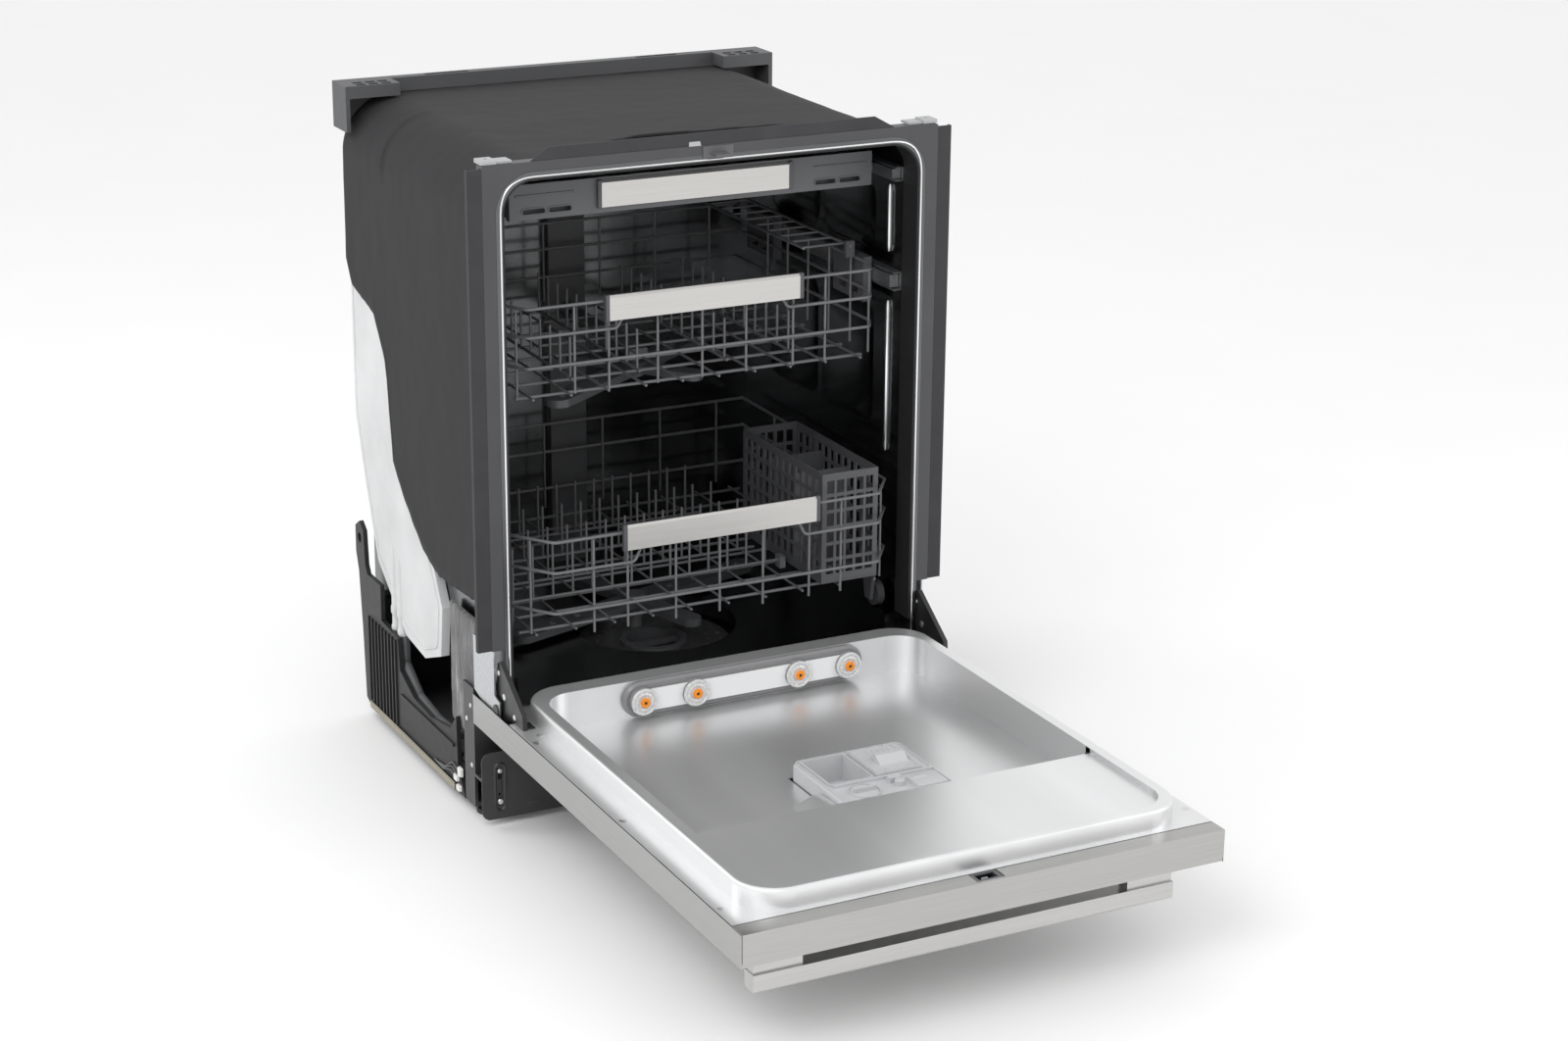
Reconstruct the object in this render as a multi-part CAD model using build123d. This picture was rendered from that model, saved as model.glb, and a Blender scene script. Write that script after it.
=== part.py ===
from build123d import *
import os
from math import cos, radians, sin

# Built-in dishwasher, drawn with its door open flat and its three racks pushed in.
# Millimetres. X runs across the front, +Y runs back into the cabinet, +Z is up.
# While the parts are drawn, Y = 0 is the front face of the tub frame and Z = 0 is the floor.
# Every part is moved by MIDDLE_Y when it is written, so that the whole stands over the origin.

# --- Overall size ---
FRAME_HALF = 301.5
FRAME_TOP = 846.0
FRAME_BOTTOM = 251.0
TRIM_HALF = 320.0
REAR_Y = 506.0
BRACKET_TOP = 860.0

# --- Tub ---
TUB_HALF = 277.0
TUB_TOP = 826.0
TUB_FLOOR = 177.0
TUB_BACK = 478.0
TUB_SHEET = 1.2
TUB_CORNER = 40.0
FLANGE_WIDTH = 8.0
LEDGE_TOP = 199.0
LEDGE_WIDTH = 20.0
LEDGE_FRONT = 30.0
LEDGE_BACK = 470.0
SUMP_Y = 190.0
WELL_RADIUS = 108.0
WELL_FLOOR = 150.0
SUMP_RADIUS = 46.0

# --- Door, lying open ---
DOOR_HALF = 301.0
DOOR_TIP = -676.0
DOOR_HEEL = 70.0
DOOR_UNDER = 133.0
DOOR_SHEET = 0.8
SIDE_TOP = 171.5
FLANGE_Z = 173.0
RIM_Z = 198.0
RIM_HALF = 273.0
RIM_TIP = -646.0
RIM_HEEL = -7.0
PAN_HALF = 257.0
PAN_TIP = -632.0
PAN_STEP = -463.0
PAN_HEEL = -38.0
PLATEAU_Z = 192.0
PAN_Z = 149.0
HINGE_Z = 174.5
HINGE_PIN_R = 5.0
HINGE_FIT = 0.08
NOTCH_HALF = 283.0
NOTCH_Y = -45.0

# --- Steam jets in the hinge-side wall of the pan ---
JET_X = (-125.0, -54.0, 88.0, 159.0)
JET_Z = 174.5
JET_R = 17.4
JET_TIP = -55.0
BAR_MIDDLE = 17.0
BAR_SIZE = (332.0, 46.0)
STRIP_SIZE = (304.0, 28.0)
BAR_STEP = -46.2
BAR_FACE = -50.0

# --- Dispenser and latch ---
DISPENSER_X = (-45.0, 99.0)
DISPENSER_Y = (-431.0, -289.0)
DISPENSER_TOP = 170.0
CUP = dict(x=(-36.0, 18.0), y=(-372.0, -300.0), z=140.0)
LATCH_PIVOT = (-655.0, 150.0)
LATCH_SWING = 25.0

# --- Handle ---
HANDLE_HALF = 265.0
HANDLE_Y = (-632.0, -610.0)
HANDLE_Z = (77.0, 98.0)
HANDLE_POST = 60.0

# --- Racks ---
WIRE = 2.0
THIN_WIRE = 1.6
LOWER = dict(half=258.0, front=-10.0, back=452.0, floor=258.0, top=381.0, flat=222.0, shoulder=40.0)
UPPER = dict(half=246.0, front=40.0, back=450.0, floor=548.0, top=659.0, flat=232.0, shoulder=66.0)
THIRD = dict(half=243.0, front=62.0, back=450.0, floor=765.0, wall=23.0)
LOWER_PLATE = dict(half=133.0, y=(-18.0, -12.8), z=(360.0, 392.0))
UPPER_PLATE = dict(half=132.0, y=(31.0, 37.2), z=(636.0, 667.0))
THIRD_PLATE = dict(half=129.0, y=(58.0, 61.8), z=(769.0, 802.0))
WHEEL_R = 17.0
WHEEL_Z = LEDGE_TOP + WHEEL_R + 0.5
WHEEL_X = (259.0, 269.0)
WHEEL_Y = (70.0, 390.0)
UPPER_RAIL_Z = 640.0
THIRD_RAIL_Z = 777.0
FOLD_Y = 110.0
FOLD_Z = 267.0
FIXED_ROWS = (190.0, 270.0, 350.0)
TINE_LENGTH = 70.0
TINE_PITCH = 27.0

WIRE_GAP = 0.3
BASKET_X = (154.0, 234.0)
BASKET_Y = (14.0, 238.0)
BASKET_Z = (262.0, 408.0)
BASKET_WALL = 2.5

# --- Spray arms ---
ARM_Y = 247.0
LOWER_ARM_Z = 184.0
UPPER_ARM_Z = 505.0
TOP_ARM_Z = 798.0

# --- Feet, base and kick plate ---
FOOT_X = 272.0
FOOT_Y = (95.0, 440.0)
BASE_HALF = 298.0
BASE_WALL = 6.0
RIB_DEPTH = 2.5
KICK_Y = (44.0, 45.5)
KICK_Z = (10.0, 100.0)

MIDDLE_Y = (DOOR_TIP + REAR_Y) / 2


# --- Helpers ---
def block(x0, x1, y0, y1, z0, z1):
    """Box between six limits."""
    return Pos((x0 + x1) / 2, (y0 + y1) / 2, (z0 + z1) / 2) * Box(x1 - x0, y1 - y0, z1 - z0)


def rod(start, end, radius):
    """Round bar from one point to another."""
    a = Vector(*start)
    b = Vector(*end)
    bar = Cylinder(radius, (b - a).length, align=(Align.CENTER, Align.CENTER, Align.MIN))
    return Plane(origin=a, z_dir=b - a) * bar


def tube(start, end, outer, inner):
    """Round pipe from one point to another."""
    return rod(start, end, outer) - rod(start, end, inner)


def upright(x, y, z0, z1, radius):
    """Vertical round bar."""
    return rod((x, y, z0), (x, y, z1), radius)


def slab(half, y0, y1, z0, z1, tip_r=0.0, heel_r=0.0):
    """Flat block, centred in X, with rounded corners at its front end and its back end."""
    face = Pos(0, (y0 + y1) / 2, z0) * Rectangle(2 * half, y1 - y0)
    if tip_r:
        face = fillet(face.vertices().sort_by(Axis.Y)[:2], tip_r)
    if heel_r:
        face = fillet(face.vertices().sort_by(Axis.Y)[-2:], heel_r)
    return extrude(face, z1 - z0)


def portal(half, z0, z1, y0, y1, top_r):
    """Block seen from the front as a doorway: square at the bottom, rounded at the top."""
    face = Pos(0, (z0 + z1) / 2) * Rectangle(2 * half, z1 - z0)
    if top_r:
        face = fillet(face.vertices().sort_by(Axis.Y)[-2:], top_r)
    return Plane.XZ.offset(-y1) * extrude(face, y1 - y0)


def side_plate(outline, x0, x1):
    """Plate with an outline of (Y, Z) points, from one X to another."""
    face = make_face(Polyline(*outline, close=True))
    return Plane.YZ.offset(x0) * extrude(face, x1 - x0)


def front_plate(outline, y0, y1):
    """Plate with an outline of (X, Z) points, from one Y to another."""
    face = make_face(Polyline(*outline, close=True))
    return Plane.XZ.offset(-y1) * extrude(face, y1 - y0)


def bent_wire(points, radius, bend):
    """Wire through a list of points, with round bends."""
    path = FilletPolyline(*points, radius=bend)
    start = path @ 0
    return sweep(Plane(origin=start, z_dir=path % 0) * Circle(radius), path=path)


def joined(solids):
    """All the given solids welded into one."""
    first, *rest = solids
    return first.fuse(*rest) if rest else first


def both_sides(shape):
    """The shape and its mirror image across the middle of the machine."""
    return Compound(children=[*shape.solids(), *mirror(shape, about=Plane.YZ).solids()])


def group(shapes):
    """Separate solids kept in one file."""
    return Compound(children=[solid for shape in shapes for solid in shape.solids()])


def spaced(first, last, count):
    """Evenly spaced values from first to last."""
    step = (last - first) / (count - 1)
    return [first + step * i for i in range(count)]


def save(name, shape):
    """Write one part in the shared frame of the whole machine."""
    export_step(Pos(0, -MIDDLE_Y, 0) * shape, f"parts/{name}.step")


# --- Tub and its front ---
def tub():
    """Stainless wrap, back wall and front flange in one drawn shell, open at front and bottom."""
    shell = portal(TUB_HALF + TUB_SHEET, TUB_FLOOR - TUB_SHEET, TUB_TOP + TUB_SHEET, 0,
                   TUB_BACK + TUB_SHEET, TUB_CORNER + TUB_SHEET)
    hollow = portal(TUB_HALF, TUB_FLOOR - 2 * TUB_SHEET, TUB_TOP, -1, TUB_BACK, TUB_CORNER)
    flange = portal(TUB_HALF + FLANGE_WIDTH, TUB_FLOOR - TUB_SHEET, TUB_TOP + FLANGE_WIDTH, 0, TUB_SHEET,
                    TUB_CORNER + FLANGE_WIDTH)
    wrap = (shell + flange) - hollow
    beads = []
    for side in (-1, 1):
        x = side * TUB_HALF
        for z0, z1 in ((417, 600), (680, 750)):
            beads.append(block(x - 1.5, x + 1.1, 66, 76, z0, z1))
    return joined([wrap, *beads])


def tub_floor():
    """Pressed floor pan with a rack ledge along each side and a round well over the sump."""
    plate = block(-TUB_HALF, TUB_HALF, 0, TUB_BACK, TUB_FLOOR - TUB_SHEET, TUB_FLOOR)
    inner = TUB_HALF - LEDGE_WIDTH
    ledge = block(inner, TUB_HALF, LEDGE_FRONT, LEDGE_BACK, TUB_FLOOR - TUB_SHEET, LEDGE_TOP)
    under = block(inner + TUB_SHEET, TUB_HALF, LEDGE_FRONT + TUB_SHEET, LEDGE_BACK - TUB_SHEET,
                  TUB_FLOOR - 2 * TUB_SHEET, LEDGE_TOP - TUB_SHEET)
    well = upright(0, SUMP_Y, WELL_FLOOR - TUB_SHEET, TUB_FLOOR, WELL_RADIUS + TUB_SHEET)
    bowl = upright(0, SUMP_Y, WELL_FLOOR, TUB_FLOOR + 1, WELL_RADIUS)
    drain = upright(0, SUMP_Y, WELL_FLOOR - 5, WELL_FLOOR + 5, SUMP_RADIUS)
    pan = plate + ledge + mirror(ledge, about=Plane.YZ) + well
    return pan - under - mirror(under, about=Plane.YZ) - bowl - drain


def tub_gasket():
    """Rubber seal around the sides and the top of the opening."""
    outer = portal(TUB_HALF, LEDGE_TOP + 1, TUB_TOP, 0.5, 36, TUB_CORNER)
    inner = portal(TUB_HALF - 2.6, LEDGE_TOP, TUB_TOP - 2.6, 0, 37, TUB_CORNER - 2.6)
    return outer - inner


def front_frame():
    """Dark frame around the tub flange, with returns along its outer edges."""
    inner_half = TUB_HALF + FLANGE_WIDTH + 0.3
    inner_top = TUB_TOP + FLANGE_WIDTH + 0.3
    solid = portal(FRAME_HALF, FRAME_BOTTOM, FRAME_TOP, 0, 16, 4)
    opening = portal(inner_half, FRAME_BOTTOM - 1, inner_top, -1, 17, TUB_CORNER + FLANGE_WIDTH + 0.3)
    hollow = portal(FRAME_HALF - 2, FRAME_BOTTOM - 1, FRAME_TOP - 2, 2.5, 17, 2)
    frame = solid - opening - hollow
    for side in (-1, 1):
        for z in (330, 470, 760):
            frame -= rod((side * 290, 11, z), (side * 310, 11, z), 2.5)
    return frame


def frame_trims():
    """Flexible strips that hide the cabinet gap: one on each side, and a sloped one on top."""
    low = FRAME_BOTTOM + 1
    high = FRAME_TOP - 4
    face = block(FRAME_HALF + 0.2, TRIM_HALF, 0, 2.2, low, high)
    root = block(FRAME_HALF + 0.2, FRAME_HALF + 2, 2.2, 6, low, high)
    lip = block(TRIM_HALF - 1.6, TRIM_HALF, 2.2, 7, low, high)
    base = FRAME_TOP + 0.2
    sloped = side_plate([(1, base), (3, base), (8, 860), (6, 860)], -240, 240)
    ends = front_plate([(-240, base), (240, base), (216, 860), (-216, 860)], -2, 12)
    return group([both_sides(face + root + lip), sloped & ends])


def corner_clips():
    """Moulded clips at the two top corners, that take the worktop brackets."""
    clip = block(282, 301, 2, 24, 846.2, 851) + block(262, 282, 4, 24, 846.2, 849)
    clip -= upright(291, 14, 840, 860, 2.2)
    return both_sides(clip)


def door_catch():
    """Steel tongue on the top of the frame that the door latch hooks."""
    foot = block(-20, 20, -1.2, 0, 830.5, 844.5)
    tongue = block(-10, 10, -17, -1.2, 834, 836.5)
    eye = block(-5, 5, -13, -7, 830, 840)
    return foot + tongue - eye


# --- Cabinet shell ---
def insulation_blanket():
    """Bitumen felt draped over the tub: a closed arch with wavy lower edges and a front cut-out."""
    outer = portal(296, 286, 841, 18, 496, 72)
    inner = portal(291, 280, 836, 17, 497, 67)
    wave = [(17, 280), (17, 299), (110, 291), (187, 287), (243, 306), (300, 350), (342, 395), (352, 460),
            (359, 522), (397, 577), (477, 598), (497, 632), (497, 280)]
    trimmed = outer - inner
    for x0, x1 in ((-300, -280), (280, 300)):
        trimmed -= side_plate(wave, x0, x1)
    cut = [(-110, 10), (-100, 92), (-60, 108), (36, 104), (120, 96), (160, 80), (170, 10)]
    notch = extrude(Pos(0, 0, 830) * make_face(Polyline(*cut, close=True)), 20)
    return trimmed - notch


def rear_bracket():
    """Plastic beam across the top of the back, with pocketed ends that hook over the sides."""
    beam = block(-303.5, 303.5, 490, REAR_Y, 842, BRACKET_TOP)
    back = block(-303.5, 303.5, 498, REAR_Y, 806, 842)
    end = block(230, 303.5, 455, 490, 844, BRACKET_TOP)
    cheek = block(298, 303.5, 455, REAR_Y, 801, BRACKET_TOP)
    lug = block(140, 170, TUB_BACK + TUB_SHEET, 498, 806, 822)
    solid = beam + back
    for part in (end, cheek, lug):
        solid = solid + part + mirror(part, about=Plane.YZ)
    holes = []
    for side in (-1, 1):
        for row in range(2):
            for column in range(3):
                x = side * (246 + column * 17)
                y = 463 + row * 14
                holes.append(block(x - 6.5, x + 6.5, y - 5, y + 5, 850, 861))
        holes.append(block(side * 150 - 30, side * 150 + 30, 494, 502, 852, 861))
        holes.append(rod((side * 155, 470, 814), (side * 155, 510, 814), 3))
    return solid - holes


def base_outline():
    """Side view of the base wall: low in the middle, stepped up to the hooked post at the back."""
    return [(112, 14), (136, 50), (138, 116), (160, 92), (225, 82), (290, 86), (339, 107), (344, 150),
            (405, 155), (405, 204), (455, 204), (462, 215), (466, 262), (480, 272), (496, 262), (497, 225),
            (488, 200), (480, 120), (474, 22), (455, 14)]


def base_ribs():
    """Ribs on the outside of the right base wall: a row of upright ones and two long ones."""
    inside = BASE_HALF - 0.1
    outside = BASE_HALF + RIB_DEPTH
    ribs = [block(inside, outside, y - 1.5, y + 1.5, 26, 146) for y in spaced(352, 452, 9)]
    ribs.append(block(inside, outside, 142, 450, 15, 25))
    ribs.append(block(inside, outside, 146, 334, 72, 76))
    return ribs


def base_pan():
    """Black moulded base: side walls, leak tray, cross walls and posts under the tub."""
    wall = side_plate(base_outline(), BASE_HALF - BASE_WALL, BASE_HALF)
    wall -= rod((280, 481, 248), (310, 481, 248), 7)
    tray = block(-BASE_HALF + BASE_WALL, BASE_HALF - BASE_WALL, 112, 470, 26, 30)
    rear = block(-BASE_HALF + BASE_WALL, BASE_HALF - BASE_WALL, 462, 470, 14, 110)
    front = block(-BASE_HALF + BASE_WALL, BASE_HALF - BASE_WALL, 112, 118, 14, 62)
    post = block(252, 292, 440, 462, 30, TUB_FLOOR - TUB_SHEET)
    rail = block(262, 292, 118, 440, 14, 26)
    solid = tray + rear + front
    for part in (wall, post, rail, *base_ribs()):
        solid = solid + part + mirror(part, about=Plane.YZ)
    for side in (-1, 1):
        solid -= upright(side * FOOT_X, FOOT_Y[1], 0, 60, 5.3)
        solid -= upright(side * FOOT_X, FOOT_Y[1], 0, 24, 13)
    return solid


def leg_brackets():
    """Two steel brackets that carry the tub front, the front feet and the kick plate."""
    web = block(294, 298, 78, 110, 16, TUB_FLOOR - TUB_SHEET)
    face = block(262, 298, 76, 78, 60, TUB_FLOOR - TUB_SHEET)
    foot_plate = block(258, 298, 78, 109, 16, 22)
    arm = block(262, 298, 45.7, 78, 58, 62)
    tab = block(262, 298, 45.7, 48, 24, 62)
    tie = block(258, 263, 76, 109, 16, 62)
    bracket = web + face + foot_plate + arm + tab + tie
    bracket -= upright(FOOT_X, FOOT_Y[0], 0, 40, 5.3)
    bracket -= rod((278, 40, 42), (278, 60, 42), 2.0)
    return both_sides(bracket)


def levelling_foot(x, y, top):
    """Threaded stud with a hexagonal collar and a round pad, at one corner."""
    pad = Pos(x, y, 0) * Cylinder(17, 5, align=(Align.CENTER, Align.CENTER, Align.MIN))
    pad = chamfer(pad.edges().group_by(Axis.Z)[-1], 2)
    nut = extrude(Pos(x, y, 5) * RegularPolygon(10, 6), 6)
    stud = upright(x, y, 11, top, 5)
    return pad + nut + stud


def kick_plate():
    """Black toe panel with a pressed slot at each end and rounded corners."""
    face = Pos(0, (KICK_Z[0] + KICK_Z[1]) / 2) * RectangleRounded(604, KICK_Z[1] - KICK_Z[0], 12)
    panel = Plane.XZ.offset(-KICK_Y[1]) * extrude(face, KICK_Y[1] - KICK_Y[0])
    for side in (-1, 1):
        panel -= block(side * 278 - 3, side * 278 + 3, 40, 50, 28, 78)
        panel -= block(side * 230 - 10, side * 230 + 10, 40, 50, 22, 25)
    return panel


def hinge_plates():
    """Galvanised plates beside the tub, each with a bore for the door pin."""
    outline = [(-10, 160), (12, 160), (72, 178), (72, 250), (6, 250), (6, 192), (-10, 188)]
    plate = side_plate(outline, 296, 298)
    plate -= rod((290, 0, HINGE_Z), (300, 0, HINGE_Z), HINGE_PIN_R + HINGE_FIT)
    ear = block(286, 296, 60, 72, 240, 242)
    return both_sides(plate + ear)


def door_springs():
    """Balance springs of the door, stretched along the base between its front wall and its posts."""
    coil = tube((280.5, 180, 44), (280.5, 298, 44), 7, 5)
    ends = [rod((280.5, y - 1, 44), (280.5, y + 1, 44), 7) for y in (180, 298)]
    hooks = [rod((280.5, 118.2, 44), (280.5, 181, 44), 1.8), rod((280.5, 297, 44), (280.5, 439.8, 44), 1.8)]
    return both_sides(joined([coil, *ends, *hooks]))


def felt_pads():
    """Fibre pads standing between the tub sides and the base walls."""
    outline = [(80, 92), (134, 92), (176, 96), (180, 176), (176, 262), (74, 262), (74, 180), (80, 180)]
    return both_sides(side_plate(outline, 281, 291))


# --- Water path ---
def air_break():
    """White water guide on the left of the tub: a flat chamber, a pointed tail and two spigots."""
    outline = [(498, 636), (500, 420), (470, 330), (430, 230), (330, 158), (262, 150), (205, 172),
               (196, 240), (240, 318), (336, 410), (346, 530), (400, 600), (470, 622)]
    shell = side_plate(outline, -290.5, -279.2)
    inner = [(490, 618), (492, 422), (462, 333), (424, 238), (328, 168), (264, 160), (214, 178),
             (206, 238), (248, 312), (346, 404), (356, 525), (406, 590), (472, 612)]
    hollow = side_plate(inner, -288.8, -280.9)
    spigots = [rod((-285, 352, 152.2), (-285, 352, 182), 5.5), rod((-285, 374, 64), (-285, 374, 200), 5.5)]
    return joined([shell - hollow, *[spigot - hollow for spigot in spigots]])


def drain_hose():
    """Corrugated hose held along the base, from the drain pump round to the water guide."""
    points = [(-111, 144, 92), (-111, 126, 92), (-170, 130, 88), (-232, 134, 84), (-285, 168, 78),
              (-285, 232, 74), (-285, 300, 82), (-285, 352, 112), (-285, 352, 152)]
    return bent_wire(points, 6.5, 12)


def inlet_valve():
    """White solenoid valve behind the kick plate, with a threaded water inlet below it."""
    body = block(-246, -212, 74, 106, 100, 124)
    coil = upright(-229, 92, 124, 146, 12)
    inlet = upright(-229, 90, 78, 100, 13.2)
    bore = upright(-229, 90, 76, 98, 8)
    return body + coil + inlet - bore


def sump():
    """Moulded sump under the well, with a flange that clamps to the tub floor."""
    flange = upright(0, SUMP_Y, 142, WELL_FLOOR - TUB_SHEET, 84)
    body = upright(0, SUMP_Y, 84, 142, SUMP_RADIUS + 6)
    hollow = upright(0, SUMP_Y, 88, 160, SUMP_RADIUS)
    outlet = rod((48, SUMP_Y, 110), (104, SUMP_Y, 110), 17)
    outlet_bore = rod((30, SUMP_Y, 110), (106, SUMP_Y, 110), 14)
    port = rod((-48, SUMP_Y, 104), (-98, SUMP_Y, 104), 12)
    port_bore = rod((-30, SUMP_Y, 104), (-100, SUMP_Y, 104), 9.5)
    column = upright(0, ARM_Y, WELL_FLOOR, LOWER_ARM_Z - 4.4, 9)
    neck = upright(0, ARM_Y, LOWER_ARM_Z - 4.4, LOWER_ARM_Z + 12.4, 8)
    cap = upright(0, ARM_Y, LOWER_ARM_Z + 12.4, LOWER_ARM_Z + 15, 14)
    bottom = flange + body + outlet + port - hollow - outlet_bore - port_bore
    return group([bottom, column + neck + cap])


def wash_pump():
    """Circulation pump: volute, motor can and cooling end cap, lying along X."""
    volute = rod((104.2, SUMP_Y, 100), (140, SUMP_Y, 100), 42)
    can = rod((140, SUMP_Y, 100), (205, SUMP_Y, 100), 36)
    cap = rod((205, SUMP_Y, 100), (216, SUMP_Y, 100), 24)
    bore = rod((100, SUMP_Y, 110), (120, SUMP_Y, 110), 14)
    hollow = rod((146, SUMP_Y, 100), (200, SUMP_Y, 100), 30)
    foot = block(150, 192, SUMP_Y - 20, SUMP_Y + 20, 30, 68)
    return volute + can + foot + cap - bore - hollow


def drain_pump():
    """Small drain pump on the left of the sump."""
    head = rod((-98.2, SUMP_Y, 104), (-124, SUMP_Y, 104), 24)
    motor = block(-166, -124, SUMP_Y - 19, SUMP_Y + 19, 86, 122)
    spout = rod((-111, SUMP_Y - 22, 92), (-111, SUMP_Y - 46, 92), 8)
    return head + motor + spout


def steam_generator():
    """Steam generator block at the back of the base, with its two ports."""
    tank = block(-120, 40, 330, 400, 60, 120)
    tank = fillet(tank.edges().filter_by(Axis.Z), 14)
    ports = [upright(x, 365, 120, 140, 7) for x in (-90, 10)]
    feet = [block(x - 10, x + 10, 340, 390, 30, 60) for x in (-90, 10)]
    return joined([tank, *ports, *feet])


def water_conduit():
    """Flat riser on the back wall that feeds the two upper sprayers, with a docking port."""
    riser = block(-26, 26, 462, TUB_BACK, TUB_FLOOR, 818)
    core = block(-23, 23, 465, 475, TUB_FLOOR + 3, 800)
    top_arm = block(-14, 14, ARM_Y - 14, 462, 808, 818)
    boss = upright(0, ARM_Y, 818, TUB_TOP, 16)
    port = rod((0, 455, 532.5), (0, 462, 532.5), 13)
    axle = upright(0, ARM_Y, TOP_ARM_Z - 2.4, 808, 6)
    button = upright(0, ARM_Y, TOP_ARM_Z - 5, TOP_ARM_Z - 2.4, 9)
    return riser + top_arm + boss + port + axle + button - core


def filter_plate():
    """Fine mesh plate around the filter, with rows of holes and a gap for the sprayer column."""
    disc = upright(0, SUMP_Y, WELL_FLOOR + 0.1, WELL_FLOOR + 2.1, 100)
    holes = [upright(0, SUMP_Y, WELL_FLOOR - 1, WELL_FLOOR + 4, 41)]
    holes.append(upright(0, ARM_Y, WELL_FLOOR - 1, WELL_FLOOR + 4, 9.6))
    for turn in range(24):
        angle = radians(15 * turn + 7.5)
        for radius in (72, 88):
            x = radius * cos(angle)
            y = SUMP_Y + radius * sin(angle)
            holes.append(upright(x, y, WELL_FLOOR - 1, WELL_FLOOR + 4, 2.6))
    return disc - holes


def filter_cup():
    """Twist-out filter: a ribbed cup with a grip across its top."""
    cup = upright(0, SUMP_Y, 96, 154, 38) - upright(0, SUMP_Y, 99, 160, 35)
    rim = upright(0, SUMP_Y, 152.3, 155.5, 44) - upright(0, SUMP_Y, 150, 158, 35)
    grip = block(-36, 36, SUMP_Y - 4, SUMP_Y + 4, 146, 152)
    windows = []
    for turn in range(12):
        angle = 30 * turn + 15
        x = 36.5 * cos(radians(angle))
        y = SUMP_Y + 36.5 * sin(radians(angle))
        windows.append(Pos(x, y, 122) * Rot(0, 0, angle) * Box(8, 9, 34))
    return cup + rim + grip - windows


def spray_arm(z, reach, short_reach, bore, thickness, turn):
    """Four-armed sprayer about a vertical bore: two long arms and two short ones."""
    hub = upright(0, ARM_Y, z - thickness * 0.4, z + thickness * 1.2, bore + 0.1 + thickness)
    arms = []
    for angle, length, width in ((0, reach, 34), (90, short_reach, 26)):
        for side in (0, 180):
            arm = Pos(length / 2, 0, z + thickness / 2) * Box(length, width, thickness)
            arm = fillet(arm.edges().filter_by(Axis.Z).sort_by(Axis.X)[-2:], width / 2 - 1)
            arms.append(Pos(0, ARM_Y, 0) * Rot(0, 0, angle + side + turn) * arm)
    return joined([hub, *arms]) - upright(0, ARM_Y, z - 20, z + 30, bore)


# --- Door ---
def door_outer_panel():
    """Brushed outer skin, folded up along both sides and across the heel."""
    floor = block(-DOOR_HALF, DOOR_HALF, DOOR_TIP + 6, DOOR_HEEL, DOOR_UNDER, DOOR_UNDER + DOOR_SHEET)
    side = block(DOOR_HALF - DOOR_SHEET, DOOR_HALF, DOOR_TIP + 1, DOOR_HEEL, DOOR_UNDER, SIDE_TOP)
    heel = block(-NOTCH_HALF, NOTCH_HALF, DOOR_HEEL - DOOR_SHEET, DOOR_HEEL, DOOR_UNDER, 168)
    return joined([floor, side, mirror(side, about=Plane.YZ), heel])


def door_liner():
    """Drawn stainless liner: flange, raised rim, front plateau and deep pan behind it."""
    sheet = DOOR_SHEET
    flange = block(-299.6, 299.6, -651, NOTCH_Y, FLANGE_Z - sheet, FLANGE_Z)
    heel = block(-NOTCH_HALF, NOTCH_HALF, NOTCH_Y, DOOR_HEEL - 1, FLANGE_Z - sheet, FLANGE_Z)
    raised = slab(RIM_HALF, RIM_TIP, RIM_HEEL, FLANGE_Z - sheet, RIM_Z, 50, 50)
    raised = fillet(raised.edges().group_by(Axis.Z)[-1], 5)
    under = slab(RIM_HALF - sheet, RIM_TIP + sheet, RIM_HEEL - sheet, FLANGE_Z - 5, RIM_Z - sheet,
                 50 - sheet, 50 - sheet)
    under = fillet(under.edges().group_by(Axis.Z)[-1], 5 - sheet)
    deep = slab(PAN_HALF + sheet, PAN_STEP - sheet, PAN_HEEL + sheet, PAN_Z - sheet, RIM_Z, 14 + sheet,
                38 + sheet)
    shelf = slab(PAN_HALF + sheet, PAN_TIP - sheet, PAN_STEP, PLATEAU_Z - sheet, RIM_Z, 38 + sheet, 0)
    deep_cut = slab(PAN_HALF, PAN_STEP, PAN_HEEL, PAN_Z, RIM_Z + 5, 14, 38)
    shelf_cut = slab(PAN_HALF, PAN_TIP, PAN_STEP + 20, PLATEAU_Z, RIM_Z + 5, 38, 0)
    liner = (flange + heel + raised) - under
    liner = liner + deep + shelf
    liner = liner - deep_cut - shelf_cut
    return liner - block(-47, 101, -433, -287, PAN_Z - 5, PAN_Z + 2)


def control_panel():
    """Strip across the tip of the door with the touch controls behind its face."""
    strip = block(-300, 300, DOOR_TIP, -652, 139, 172.6)
    strip -= block(-292, 292, -672, -651, 144, 168)
    strip -= block(-17.5, 17.5, -672, -651, 160, 175)
    lip = block(-300, 300, DOOR_TIP + 1.5, -668, DOOR_UNDER + 0.9, 139)
    return strip + lip


def door_handle():
    """Bar handle across the outside of the door on two end posts."""
    bar = block(-HANDLE_HALF, HANDLE_HALF, *HANDLE_Y, *HANDLE_Z)
    post = block(HANDLE_HALF - HANDLE_POST, HANDLE_HALF - 1, HANDLE_Y[0] + 3, HANDLE_Y[1] - 2,
                 HANDLE_Z[1], DOOR_UNDER)
    solid = bar + post + mirror(post, about=Plane.YZ)
    front_edges = solid.edges().filter_by(Axis.X).group_by(Axis.Z)[0]
    return fillet(front_edges, 2.5)


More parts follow.
